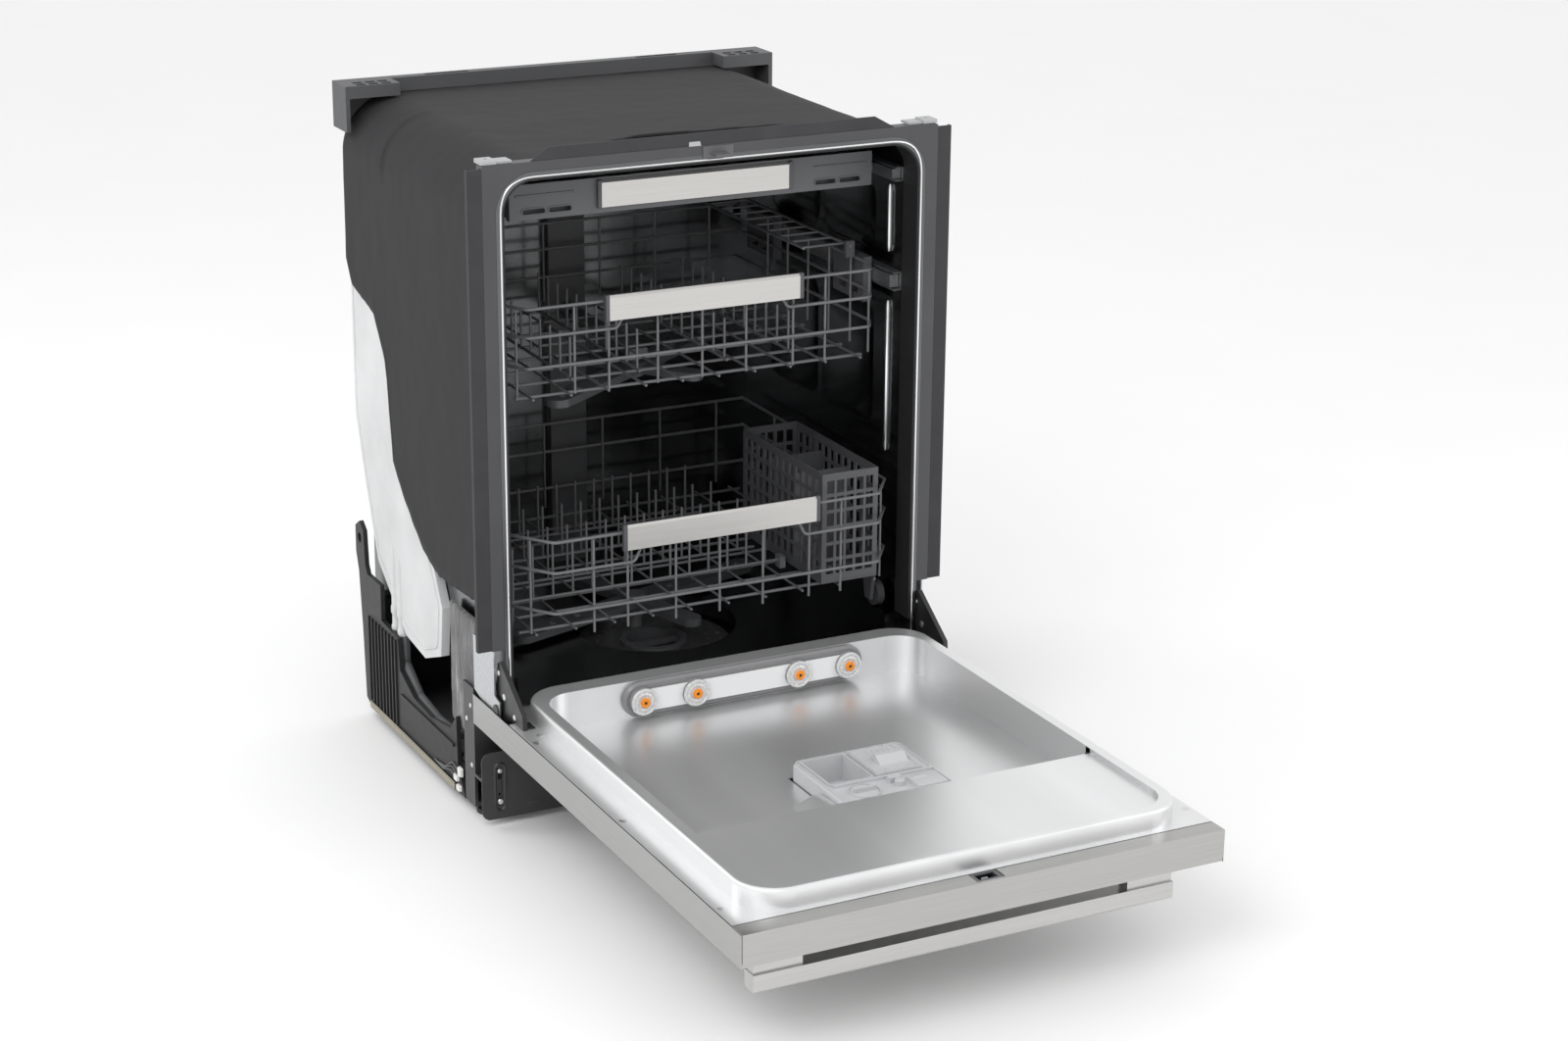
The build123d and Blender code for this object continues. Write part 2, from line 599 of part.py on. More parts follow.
def hinge_arms():
    """Black arms fixed to the door flange, each with the pin that the door turns on."""
    outline = [(-11, 166), (10, 166), (11, 184), (6, 233), (-2, 238), (-70, 191), (-72, FLANGE_Z),
               (-44, FLANGE_Z)]
    arm = side_plate(outline, 287, 293)
    pin = rod((287, 0, HINGE_Z), (298.4, 0, HINGE_Z), HINGE_PIN_R)
    head = rod((298.3, 0, HINGE_Z), (299.6, 0, HINGE_Z), 7.5)
    toe = block(276, 287, -70, -50, FLANGE_Z, FLANGE_Z + 1.2)
    return both_sides(arm + pin + head + toe)


def nozzle_bar():
    """Rounded bar on the hinge-side wall of the pan, with a raised strip for the steam jets."""
    back = PAN_HEEL - 0.2
    wall = Plane.XZ.offset(-back)
    middle = Pos(BAR_MIDDLE, JET_Z)
    base = wall * extrude(middle * SlotOverall(*BAR_SIZE), back - BAR_STEP)
    base = chamfer(base.edges().group_by(Axis.Y)[0], 3)
    strip = wall * extrude(middle * SlotOverall(*STRIP_SIZE), back - BAR_FACE)
    bar = base + strip
    for x in JET_X:
        bar -= rod((x, BAR_FACE - 2, JET_Z), (x, PAN_HEEL - 3, JET_Z), JET_R + 0.1)
    return bar


def steam_jets():
    """Four clear domes, each with a nozzle hole, seated in the bar."""
    jets = []
    for x in JET_X:
        dome = rod((x, JET_TIP, JET_Z), (x, PAN_HEEL - 3, JET_Z), JET_R)
        dome = chamfer(dome.edges().group_by(Axis.Y)[0], 3)
        jets.append(dome - rod((x, BAR_FACE - 6, JET_Z), (x, BAR_FACE + 1, JET_Z), 2.5))
    return group(jets)


def dispenser_body():
    """Grey dispenser let into the pan: an open detergent cup, a rail deck and a rinse-aid port."""
    body = block(*DISPENSER_X, *DISPENSER_Y, PAN_Z, DISPENSER_TOP)
    body = fillet(body.edges().filter_by(Axis.Z), 9)
    body = chamfer(body.edges().group_by(Axis.Z)[-1], 2.5)
    sunk = block(-40, 94, -426, -294, 137, PAN_Z)
    body = body + sunk
    body -= block(*CUP["x"], *CUP["y"], CUP["z"], 180)
    body -= upright(-8, -402, 152, 180, 17.4)
    body -= upright(-8, -402, 145, 180, 8)
    deck = block(-36, 94, -380, -376, DISPENSER_TOP, DISPENSER_TOP + 3)
    lever = block(30, 46, -394, -384, DISPENSER_TOP, 176)
    return body + deck + lever


def detergent_lid():
    """Sliding lid of the detergent cup, standing open to the right, with a raised grip."""
    plate = block(24, 84, -374, -298, DISPENSER_TOP + 0.4, DISPENSER_TOP + 4)
    grip = side_plate([(-372, 174), (-352, 174), (-340, 182), (-332, 182), (-336, 174), (-300, 174)], 40, 78)
    return plate + grip


def rinse_cap():
    """Round rinse-aid cap with a grip bar."""
    cap = upright(-8, -402, 155, 171, 17.3)
    stem = upright(-8, -402, 147, 155, 7.7)
    bar = block(-22, 6, -404.5, -399.5, 171, 176)
    return cap + stem + bar


def latch_housing():
    """Housing of the door latch behind the control strip, open where the catch comes in."""
    shell = block(-17, 17, -671, -634, 145, 171.8) - block(-14, 14, -669.4, -636, 146.5, 170)
    shell -= block(-12, 12, -667, -654, 160, 175)
    return shell - rod((-18, *LATCH_PIVOT), (18, *LATCH_PIVOT), 2.08)


def latch_hook():
    """Hook that swings about a cross pin, drawn released: its nose is clear of the catch."""
    outline = [(-657, 148.2), (-653, 148.2), (-653, 166), (-665, 166), (-665, 163), (-657, 163)]
    hook = side_plate(outline, -4, 4)
    pin = rod((-16.5, *LATCH_PIVOT), (16.5, *LATCH_PIVOT), 2.0)
    pivot = Pos(0, *LATCH_PIVOT)
    return pivot * Rot(-LATCH_SWING, 0, 0) * pivot.inverse() * (hook + pin)


# --- Racks ---
def rack_front(rack, plate, heights):
    """Front of a wire rack: straight rails that dip under the plate, and a bent grille at each corner."""
    y = rack["front"]
    flat = rack["flat"]
    half = rack["half"]
    corner = rack["shoulder"]
    posts = y + WIRE * 1.6
    split = flat - 10
    end = split - WIRE_GAP
    low = plate["half"] - 28
    dip = plate["z"][0] + 6
    rails = []
    bends = []
    for i, z in enumerate(heights):
        if i == 1:
            fall = [(-end, y, z), (-low - 12, y, z), (-low, y, dip)]
            rise = [(low, y, dip), (low + 12, y, z), (end, y, z)]
            rails.append(bent_wire(fall + rise, WIRE, 8))
        else:
            rails.append(rod((-end, y, z), (end, y, z), WIRE))
        bends.append(bent_wire([(split, y, z), (flat, y, z), (half, corner, z)], WIRE, 8))
    for x in (-170, -125, -60, 0, 60, 125, 170):
        rails.append(rod((x, posts, rack["floor"]), (x, posts, rack["top"]), THIN_WIRE))
    x = flat + 0.55 * (half - flat)
    y_post = posts + 0.55 * (corner - y)
    bends.append(rod((x, y_post, rack["floor"]), (x, y_post, rack["top"]), THIN_WIRE))
    return group([joined(rails), both_sides(joined(bends))])


def rack_side(rack, heights):
    """Right side of a wire rack: straight rails with posts inside them."""
    x = rack["half"]
    inside = x - WIRE * 1.6
    wires = [rod((x, rack["shoulder"] + 1.6, z), (x, rack["back"], z), WIRE) for z in heights]
    for y in spaced(112, 345, 5):
        wires.append(rod((inside, y, rack["floor"]), (inside, y, rack["top"]), THIN_WIRE))
    return joined(wires)


def rack_back(rack, heights):
    """Back of a wire rack."""
    y = rack["back"] - WIRE * 1.2
    half = rack["half"] - WIRE - 0.3
    wires = [rod((-half, y, z), (half, y, z), WIRE) for z in heights]
    posts = y - WIRE * 1.5
    for x in spaced(-half + 40, half - 40, 6):
        wires.append(rod((x, posts, rack["floor"] + 6), (x, posts, rack["top"]), THIN_WIRE))
    return joined(wires)


def rack_floor(rack, across, along):
    """Floor of a wire rack: wires across, and wires along on top of them."""
    z = rack["floor"] - 6
    half = rack["half"] - 9
    front = rack["shoulder"] + 4
    back = rack["back"] - 12
    wires = [rod((-half, y, z), (half, y, z), WIRE) for y in spaced(front, back, across)]
    for x in spaced(-half + 14, half - 14, along):
        wires.append(rod((x, front - 24, z + WIRE * 1.6), (x, back + 6, z + WIRE * 1.6), THIN_WIRE))
    return joined(wires)


def grip_plate(plate):
    """Brushed plate on the front of a rack, with its top edge rolled back."""
    x = plate["half"]
    y0, y1 = plate["y"]
    z0, z1 = plate["z"]
    outline = [(y0, z0), (y0, z1 - 3), (y0 + 2.5, z1), (y1, z1), (y1, z1 - 1.4), (y0 + 3, z1 - 1.4),
               (y0 + 1.4, z1 - 3.4), (y0 + 1.4, z0)]
    return side_plate(outline, -x, x)


def tine_row(y, z, x0, x1, length, pitch, tail=6):
    """Row of upright tines on one cross wire, which runs past the last tines by a tail."""
    wires = [rod((x0 - tail, y, z), (x1 + tail, y, z), WIRE)]
    count = int((x1 - x0) / pitch) + 1
    for i in range(count):
        x = x0 + pitch * i
        wires.append(rod((x, y, z), (x, y, z + length), THIN_WIRE))
    return joined(wires)


def fold_clips():
    """Clips that hold the folding row to the floor of the lower rack."""
    clips = []
    bottom = LOWER["floor"] - 6 + WIRE * 1.6 + THIN_WIRE + 0.3
    for x in (-241.5, 144.5):
        clip = block(x - 4, x + 4, FOLD_Y - 7, FOLD_Y + 7, bottom, FOLD_Z + 6)
        clips.append(clip - rod((x - 5, FOLD_Y, FOLD_Z), (x + 5, FOLD_Y, FOLD_Z), WIRE + 0.1))
    return clips


def wheel_pair(y):
    """Left and right wheels on one axle line of the lower rack."""
    wheel = rod((WHEEL_X[0], y, WHEEL_Z), (WHEEL_X[1], y, WHEEL_Z), WHEEL_R)
    wheel -= rod((WHEEL_X[0] + 6, y, WHEEL_Z), (WHEEL_X[1] + 1, y, WHEEL_Z), WHEEL_R - 4)
    wheel += rod((WHEEL_X[0] + 4, y, WHEEL_Z), (WHEEL_X[1], y, WHEEL_Z), 6)
    wheel -= rod((WHEEL_X[0] - 1, y, WHEEL_Z), (WHEEL_X[1] + 1, y, WHEEL_Z), 3.1)
    return both_sides(wheel)


def wheel_hangers():
    """Moulded hangers under the lower rack, each with the stub that a wheel turns on."""
    hangers = []
    for y in WHEEL_Y:
        outline = [(y - 7, WHEEL_Z - 7), (y + 7, WHEEL_Z - 7), (y + 20, 287.6), (y - 20, 287.6)]
        plate = side_plate(outline, 252, 257)
        stub = rod((256, y, WHEEL_Z), (270.2, y, WHEEL_Z), 3.0)
        hangers.append(plate + stub)
    return hangers


def cutlery_basket():
    """Lattice basket for cutlery, open at the top: a floor, four walls and two dividers."""
    x0, x1 = BASKET_X
    y0, y1 = BASKET_Y
    z0, z1 = BASKET_Z
    wall = BASKET_WALL
    seat = wall + WIRE_GAP
    floor = block(x0, x1, y0, y1, z0, z0 + wall)
    ends = [block(x0, x1, y, y + wall, z0 + seat, z1) for y in (y0, y1 - wall)]
    sides = [block(x, x + wall, y0 + seat, y1 - seat, z0 + seat, z1) for x in (x0, x1 - wall)]
    bays = spaced(y0, y1, 4)[1:-1]
    dividers = [block(x0 + seat, x1 - seat, y - 1, y + 1, z0 + seat, z1 - 20) for y in bays]
    columns = spaced(x0 + 12, x1 - 12, 5)
    across = spaced(y0 + 14, y1 - 14, 12)
    end_windows = []
    side_windows = []
    for row in range(6):
        low = z0 + 12 + row * 21.5
        high = low + 17
        end_windows += [block(x - 5.2, x + 5.2, y0 - 4, y1 + 4, low, high) for x in columns]
        side_windows += [block(x0 - 4, x1 + 4, y - 6, y + 6, low, high) for y in across]
    floor_windows = [block(x - 5, x + 5, y - 5.5, y + 5.5, z0 - 1, z0 + 4) for x in columns for y in across]
    ends = [end - end_windows for end in ends]
    sides = [side - side_windows for side in sides]
    return group([floor - floor_windows, *ends, *sides, *dividers])


def rail_pair(z, x0, x1, y0, y1, height):
    """Channel rails on both tub walls, open towards the rack."""
    rail = block(x0, x1, y0, y1, z - height / 2, z + height / 2)
    rail -= block(x0 - 1, x1 - 2, y0 - 1, y1 + 1, z - height / 2 + 2, z + height / 2 - 2)
    return both_sides(rail)


def height_adjusters():
    """Blocks on both sides of the upper rack that hang it on the runners, and the shelf clips."""
    blocks = []
    for y in (130, 380):
        body = block(249, 261, y - 40, y + 40, 604, 662)
        body -= [block(248, 262, y - 26, y - 6, 612, 622), block(248, 262, y + 6, y + 26, 612, 622)]
        blocks.append(body)
    clips = []
    for y in (104, 406):
        clip = block(230, 242, y - 3, y + 3, 661.4, 682)
        clips.append(clip - rod((236, y - 4, 676), (236, y + 4, 676), WIRE + 0.1))
    return group([both_sides(group(blocks)), *clips])


def upper_feed():
    """Flat water tube under the upper rack, from the back to the sprayer."""
    duct = block(-13, 13, ARM_Y - 15, 448, 528, 537)
    port = rod((0, 446, 532.5), (0, 454.6, 532.5), 11)
    neck = upright(0, ARM_Y, UPPER_ARM_Z - 4.4, 528, 8)
    foot = upright(0, ARM_Y, UPPER_ARM_Z - 7.4, UPPER_ARM_Z - 4.4, 12)
    return duct + port + neck + foot


def cup_shelf():
    """Hinged wire shelf over the right side of the upper rack."""
    hinge_x = 236
    tip_x = 176
    wires = [rod((hinge_x, 100, 676), (hinge_x, 410, 676), WIRE)]
    wires.append(rod((tip_x, 114, 676), (tip_x, 396, 676), WIRE))
    for y in spaced(118, 392, 9):
        wires.append(rod((hinge_x, y, 676), (tip_x, y, 676), THIN_WIRE))
    return joined(wires)


def upper_tines():
    """Four rows of short tines running back along the floor of the upper rack."""
    rows = []
    z = UPPER["floor"] - 6 + WIRE * 1.6 + THIN_WIRE + WIRE + 0.4
    for x in (-150, -60, 60, 150):
        wires = [rod((x, 96, z), (x, 424, z), WIRE)]
        wires += [rod((x, y, z), (x, y, z + 52), THIN_WIRE) for y in spaced(104, 416, 11)]
        rows.append(joined(wires))
    return rows


def third_tray():
    """Shallow cutlery tray: slotted floor, low walls, two dividers and a runner block on each side."""
    half = THIRD["half"]
    y0 = THIRD["front"] + 10
    y1 = THIRD["back"]
    z0 = THIRD["floor"]
    wall = 2.5
    tray = block(-half, half, y0, y1, z0, z0 + THIRD["wall"])
    tray -= block(-half + wall, half - wall, y0 + wall, y1 - wall, z0 + wall, z0 + 40)
    tray += [block(x - 1.2, x + 1.2, y0 + 1, y1 - 1, z0 + 1, z0 + 18) for x in (-90, 90)]
    slots = []
    for y in spaced(y0 + 18, y1 - 18, 12):
        slots += [block(x - 15, x + 15, y - 10, y + 10, z0 - 1, z0 + 4) for x in
                  (-205, -165, -125, -55, 0, 55, 125, 165, 205)]
    tray -= slots
    arm = block(half - 1, 261.5, y0 + 20, y1 - 10, z0 + 8, z0 + 16)
    return tray + arm + mirror(arm, about=Plane.YZ)


def third_front():
    """Grey moulded front of the third rack with slots at its ends."""
    half = THIRD["half"]
    panel = block(-half, half, THIRD["front"], THIRD["front"] + 9.8, 762, 805)
    panel -= block(-half + 3, half - 3, THIRD["front"] + 3, THIRD["front"] + 11, 765, 806)
    for side in (-1, 1):
        for i in range(2):
            x = side * (178 + i * 34)
            panel -= block(x - 14, x + 14, THIRD["front"] - 1, THIRD["front"] + 5, 769, 775)
    return panel


def lower_rack():
    """Wire basket of the lower rack: its grilles, three fixed tine rows, clips and wheel hangers."""
    heights = (LOWER["top"], 342.0, 290.0)
    side = rack_side(LOWER, heights)
    row_z = LOWER["floor"] - 6 + WIRE * 1.6 + THIN_WIRE + WIRE + 0.4
    rows = [tine_row(y, row_z, -229, 140, TINE_LENGTH, TINE_PITCH) for y in FIXED_ROWS]
    grilles = [rack_front(LOWER, LOWER_PLATE, heights), rack_back(LOWER, heights), rack_floor(LOWER, 9, 10)]
    return group([*grilles, both_sides(side), *rows, *fold_clips(), both_sides(group(wheel_hangers()))])


def upper_rack():
    """Wire basket of the upper rack: its grilles and four tine rows."""
    heights = (UPPER["top"], 624.0, 586.0)
    side = rack_side(UPPER, heights)
    grilles = [rack_front(UPPER, UPPER_PLATE, heights), rack_back(UPPER, heights), rack_floor(UPPER, 8, 10)]
    return group([*grilles, both_sides(side), *upper_tines()])


def rack_rails():
    """Fixed channel rails of the upper and third racks on both tub walls."""
    return group([rail_pair(UPPER_RAIL_Z, 265, TUB_HALF, 40, 470, 24),
                  rail_pair(THIRD_RAIL_Z, 265, TUB_HALF, 40, 470, 18)])


PARTS = {
    "tub": tub,
    "tub_floor": tub_floor,
    "tub_gasket": tub_gasket,
    "front_frame": front_frame,
    "frame_trims": frame_trims,
    "corner_clips": corner_clips,
    "door_catch": door_catch,
    "insulation_blanket": insulation_blanket,
    "rear_bracket": rear_bracket,
    "base_pan": base_pan,
    "leg_brackets": leg_brackets,
    "rear_feet": lambda: both_sides(levelling_foot(FOOT_X, FOOT_Y[1], 50)),
    "front_foot_right": lambda: levelling_foot(FOOT_X, FOOT_Y[0], 40),
    "front_foot_left": lambda: levelling_foot(-FOOT_X, FOOT_Y[0], 40),
    "kick_plate": kick_plate,
    "hinge_plates": hinge_plates,
    "door_springs": door_springs,
    "felt_pads": felt_pads,
    "air_break": air_break,
    "drain_hose": drain_hose,
    "inlet_valve": inlet_valve,
    "sump": sump,
    "wash_pump": wash_pump,
    "drain_pump": drain_pump,
    "steam_generator": steam_generator,
    "water_conduit": water_conduit,
    "filter_plate": filter_plate,
    "filter_cup": filter_cup,
    "rack_rails": rack_rails,
    "lower_spray_arm": lambda: spray_arm(LOWER_ARM_Z, 212, 120, 8.1, 10, 18),
    "upper_spray_arm": lambda: spray_arm(UPPER_ARM_Z, 200, 100, 8.1, 10, 35),
    "top_spray_arm": lambda: spray_arm(TOP_ARM_Z, 62, 40, 6.1, 5, 10),
    "door_outer_panel": door_outer_panel,
    "door_liner": door_liner,
    "control_panel": control_panel,
    "door_handle": door_handle,
    "hinge_arms": hinge_arms,
    "nozzle_bar": nozzle_bar,
    "steam_jets": steam_jets,
    "dispenser_body": dispenser_body,
    "detergent_lid": detergent_lid,
    "rinse_cap": rinse_cap,
    "latch_housing": latch_housing,
    "latch_hook": latch_hook,
    "lower_rack": lower_rack,
    "lower_plate": lambda: grip_plate(LOWER_PLATE),
    "cutlery_basket": cutlery_basket,
    "folding_tines": lambda: tine_row(FOLD_Y, FOLD_Z, -229, 133, TINE_LENGTH, TINE_PITCH, 17),
    "wheels_front": lambda: wheel_pair(WHEEL_Y[0]),
    "wheels_rear": lambda: wheel_pair(WHEEL_Y[1]),
    "upper_rack": upper_rack,
    "upper_plate": lambda: grip_plate(UPPER_PLATE),
    "height_adjusters": height_adjusters,
    "upper_feed": upper_feed,
    "upper_runners": lambda: both_sides(block(262, 273.4, 44, 466, UPPER_RAIL_Z - 8, UPPER_RAIL_Z + 8)),
    "cup_shelf": cup_shelf,
    "third_tray": third_tray,
    "third_front": third_front,
    "third_plate": lambda: grip_plate(THIRD_PLATE),
    "third_runners": lambda: both_sides(block(262.5, 273.4, 44, 466, THIRD_RAIL_Z - 6, THIRD_RAIL_Z + 6)),
}

if __name__ == "__main__":
    os.makedirs("parts", exist_ok=True)
    for name, build in PARTS.items():
        save(name, build())
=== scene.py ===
"""Looks of the built-in dishwasher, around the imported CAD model. Metres, in the frame of the CAD."""
import math
import random

import bmesh
import bpy
from mathutils import Matrix, Vector, noise


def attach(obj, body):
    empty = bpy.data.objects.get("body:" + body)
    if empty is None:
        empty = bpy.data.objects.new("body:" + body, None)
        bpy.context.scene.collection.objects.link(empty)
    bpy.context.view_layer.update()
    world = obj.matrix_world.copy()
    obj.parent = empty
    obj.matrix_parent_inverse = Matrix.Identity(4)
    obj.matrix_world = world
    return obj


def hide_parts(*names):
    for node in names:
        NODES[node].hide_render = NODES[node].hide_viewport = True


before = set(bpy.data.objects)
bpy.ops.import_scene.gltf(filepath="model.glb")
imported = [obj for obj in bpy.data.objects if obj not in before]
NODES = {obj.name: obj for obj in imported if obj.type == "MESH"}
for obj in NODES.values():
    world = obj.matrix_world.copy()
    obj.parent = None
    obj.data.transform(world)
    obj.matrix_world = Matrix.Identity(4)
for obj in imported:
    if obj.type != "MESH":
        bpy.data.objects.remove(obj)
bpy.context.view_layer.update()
FRONT_Y = 0.085  # the front face of the tub frame


# --- Camera, lights and floor ---
def make_camera():
    """Camera at the viewing angle: seen from the front left, a little above."""
    azimuth, elevation, roll = (math.radians(a) for a in (-27.32, 18.62, 0.52))
    data = bpy.data.cameras.new("camera")
    data.sensor_width = 36
    data.lens = 70.73
    camera = bpy.data.objects.new("camera", data)
    bpy.context.scene.collection.objects.link(camera)
    back = Vector((math.sin(azimuth) * math.cos(elevation), -math.cos(azimuth) * math.cos(elevation),
                   math.sin(elevation)))
    turn = back.to_track_quat("Z", "Y").to_matrix() @ Matrix.Rotation(roll, 3, "Z")
    camera.matrix_world = Matrix.Translation((-1.5826, -3.1580, 1.5908)) @ turn.to_4x4()
    bpy.context.scene.camera = camera


def area_light(name, place, aim, size, power):
    """Soft rectangular light at a place, turned to a point."""
    data = bpy.data.lights.new(name, "AREA")
    data.shape = "RECTANGLE"
    data.size, data.size_y = size
    data.energy = power
    lamp = bpy.data.objects.new(name, data)
    bpy.context.scene.collection.objects.link(lamp)
    lamp.location = place
    lamp.rotation_euler = (Vector(place) - Vector(aim)).to_track_quat("Z", "Y").to_euler()


def make_studio():
    """Pale floor, even white surroundings and three soft boxes."""
    world = bpy.data.worlds.new("studio")
    scene = bpy.context.scene
    scene.world = world
    scene.view_settings.view_transform = "Standard"
    world.use_nodes = True
    world.node_tree.nodes["Background"].inputs["Color"].default_value = (1.0, 1.0, 1.0, 1)
    world.node_tree.nodes["Background"].inputs["Strength"].default_value = 0.95
    area_light("key", (-1.9, -1.6, 2.6), (0, 0, 0.3), (1.8, 1.4), 34)
    area_light("fill", (2.4, -1.9, 1.5), (0, 0, 0.4), (1.4, 1.8), 12)
    area_light("rim", (-2.2, 1.7, 2.0), (0, 0.2, 0.5), (1.2, 1.2), 12)
    mesh = bpy.data.meshes.new("floor")
    mesh.from_pydata([(-12, -12, 0), (12, -12, 0), (12, 12, 0), (-12, 12, 0)], [], [(0, 1, 2, 3)])
    floor = bpy.data.objects.new("floor", mesh)
    bpy.context.scene.collection.objects.link(floor)
    paint = Paint("floor_paper", (0.93, 0.93, 0.93), 0.9)
    paint.tint(paint.noise(3, detail=2), [(0.3, (0.925, 0.925, 0.925)), (0.7, (0.935, 0.935, 0.935))])
    mesh.materials.append(paint.material)


# --- Materials ---
class Paint:
    """A Principled material with a few helpers for procedural detail in the object's own space."""

    def __init__(self, name, color, roughness, metallic=0.0, **sockets):
        self.material = bpy.data.materials.new(name)
        self.material.use_nodes = True
        self.tree = self.material.node_tree
        self.shader = self.tree.nodes["Principled BSDF"]
        self.color = color
        self.shader.inputs["Base Color"].default_value = (*color, 1)
        self.shader.inputs["Roughness"].default_value = roughness
        self.shader.inputs["Metallic"].default_value = metallic
        for label, value in sockets.items():
            self.shader.inputs[label.replace("_", " ")].default_value = value
        self.space = self.tree.nodes.new("ShaderNodeTexCoord").outputs["Object"]
        self.height = None

    def node(self, kind, **inputs):
        made = self.tree.nodes.new(kind)
        for label, value in inputs.items():
            self.feed(made.inputs[label.replace("_", " ")], value)
        return made

    def feed(self, socket, value):
        if isinstance(value, bpy.types.NodeSocket):
            self.tree.links.new(value, socket)
        else:
            socket.default_value = value

    def stretched(self, scale):
        """The object's space, scaled by three factors."""
        return self.node("ShaderNodeMapping", Vector=self.space, Scale=scale).outputs["Vector"]

    def noise(self, scale, detail=4.0, stretch=(1, 1, 1), rough=0.55, distortion=0.0):
        return self.node("ShaderNodeTexNoise", Vector=self.stretched(stretch), Scale=scale, Detail=detail,
                         Roughness=rough, Distortion=distortion).outputs["Fac"]

    def cells(self, scale):
        made = self.node("ShaderNodeTexVoronoi", Vector=self.stretched((1, 1, 1)), Scale=scale)
        return made.outputs["Distance"]

    def span(self, value, low, high):
        """A value from 0 to 1, taken to low to high."""
        made = self.node("ShaderNodeMapRange", Value=value, To_Min=low, To_Max=high)
        return made.outputs["Result"]

    def tint(self, value, stops):
        """Colour the surface by a value, through colour stops."""
        ramp = self.node("ShaderNodeValToRGB", Fac=value)
        bar = ramp.color_ramp
        bar.elements[0].position, bar.elements[1].position = stops[0][0], stops[-1][0]
        for place, _ in stops[1:-1]:
            bar.elements.new(place)
        for element, (_, color) in zip(bar.elements, stops):
            element.color = (*color, 1)
        self.feed(self.shader.inputs["Base Color"], ramp.outputs["Color"])
        return self

    def shade(self, value, amount):
        """Vary the base colour's brightness by a value, by plus or minus an amount."""
        low = tuple(c * (1 - amount) for c in self.color)
        high = tuple(min(1.0, c * (1 + amount)) for c in self.color)
        return self.tint(value, [(0.25, low), (0.75, high)])

    def rough(self, value, low, high):
        self.feed(self.shader.inputs["Roughness"], self.span(value, low, high))
        return self

    def bump(self, value, depth, strength=1.0):
        """Raise the surface by a value, to a depth in metres. Several calls add up."""
        made = self.node("ShaderNodeBump", Height=value, Distance=depth, Strength=strength)
        if self.height is not None:
            self.feed(made.inputs["Normal"], self.height)
        self.height = made.outputs["Normal"]
        self.feed(self.shader.inputs["Normal"], self.height)
        return self


def brushed(name, color, roughness, along, fine=1.0):
    """Stainless steel with short brush lines along one axis, and faint wipe marks."""
    stretch = [900.0 * fine] * 3
    stretch["XYZ".index(along)] = 9.0
    broad = [factor * 0.4 for factor in stretch]
    paint = Paint(name, color, roughness, 1.0, Anisotropic=0.45)
    lines = paint.noise(1, detail=3, stretch=stretch, rough=0.6)
    cloud = paint.noise(7, detail=3)
    paint.shade(lines, 0.07)
    paint.rough(paint.noise(1, detail=2, stretch=broad), roughness - 0.05, roughness + 0.08)
    paint.bump(lines, 0.00002)
    paint.bump(cloud, 0.0006, 0.25)
    return paint.material


def drawn_steel(name, color, roughness, waviness):
    """Pressed stainless sheet: satin, with long soft waves, water spots and hairline scratches."""
    paint = Paint(name, color, roughness, 1.0)
    wide = paint.noise(5, detail=2)
    spots = paint.cells(160)
    hairs = paint.noise(1, detail=2, stretch=(40, 700, 700))
    paint.shade(wide, 0.05)
    paint.rough(wide, roughness - 0.03, roughness + 0.05)
    paint.bump(wide, waviness, 0.6)
    paint.bump(spots, 0.00002, 0.25)
    paint.bump(hairs, 0.00001, 0.5)
    return paint.material


def liner_steel():
    """Pressed liner, painted bright and partly diffuse as painted light from above: soft brush lines along
    the door, long waves and faint streaks.
    """
    # Light colour and metallic held at 0.75, so part of it shows as diffuse white: painted light from above
    # on the door's pan.
    paint = Paint("liner_steel_painted_light_look", (0.84, 0.845, 0.85), 0.3, 0.75, Anisotropic=0.35)
    streaks = paint.noise(1, detail=2, stretch=(9, 1.2, 9))
    lines = paint.noise(1, detail=3, stretch=(1100, 12, 1100))
    paint.tint(streaks, [(0.3, (0.76, 0.765, 0.77)), (0.55, (0.81, 0.815, 0.82)),
                         (0.75, (0.86, 0.865, 0.87))])
    paint.rough(paint.noise(1, detail=2, stretch=(9, 2, 9)), 0.27, 0.35)
    paint.bump(lines, 0.000015)
    paint.bump(paint.noise(4, detail=2), 0.0012, 0.5)
    return paint.material


def galvanised(name, color, roughness):
    """Zinc-coated sheet with its spangle."""
    paint = Paint(name, color, roughness, 0.95)
    spangle = paint.cells(300)
    paint.shade(spangle, 0.07)
    paint.rough(paint.noise(40, detail=4), roughness - 0.06, roughness + 0.1)
    paint.bump(paint.noise(90), 0.00008, 0.5)
    paint.bump(paint.noise(12, detail=2), 0.0008, 0.4)
    return paint.material


def moulded(name, color, roughness, grain=1200, depth=0.00004, variation=0.05, **sockets):
    """Moulded plastic with a spark-eroded grain and slight flow marks."""
    paint = Paint(name, color, roughness, **sockets)
    paint.shade(paint.noise(14, detail=5), variation)
    paint.rough(paint.noise(60, detail=3), roughness - 0.07, roughness + 0.09)
    paint.bump(paint.noise(grain, detail=2), depth)
    paint.bump(paint.noise(30, detail=2), 0.0003, 0.3)
    return paint.material


def enamel(name, color, roughness):
    """Painted sheet steel with a fine orange peel and dust on it."""
    paint = Paint(name, color, roughness, Coat_Weight=0.15, Coat_Roughness=0.35)
    paint.shade(paint.noise(11, detail=6), 0.12)
    paint.rough(paint.noise(40, detail=4), roughness - 0.08, roughness + 0.1)
    paint.bump(paint.noise(500, detail=1), 0.00003)
    return paint.material


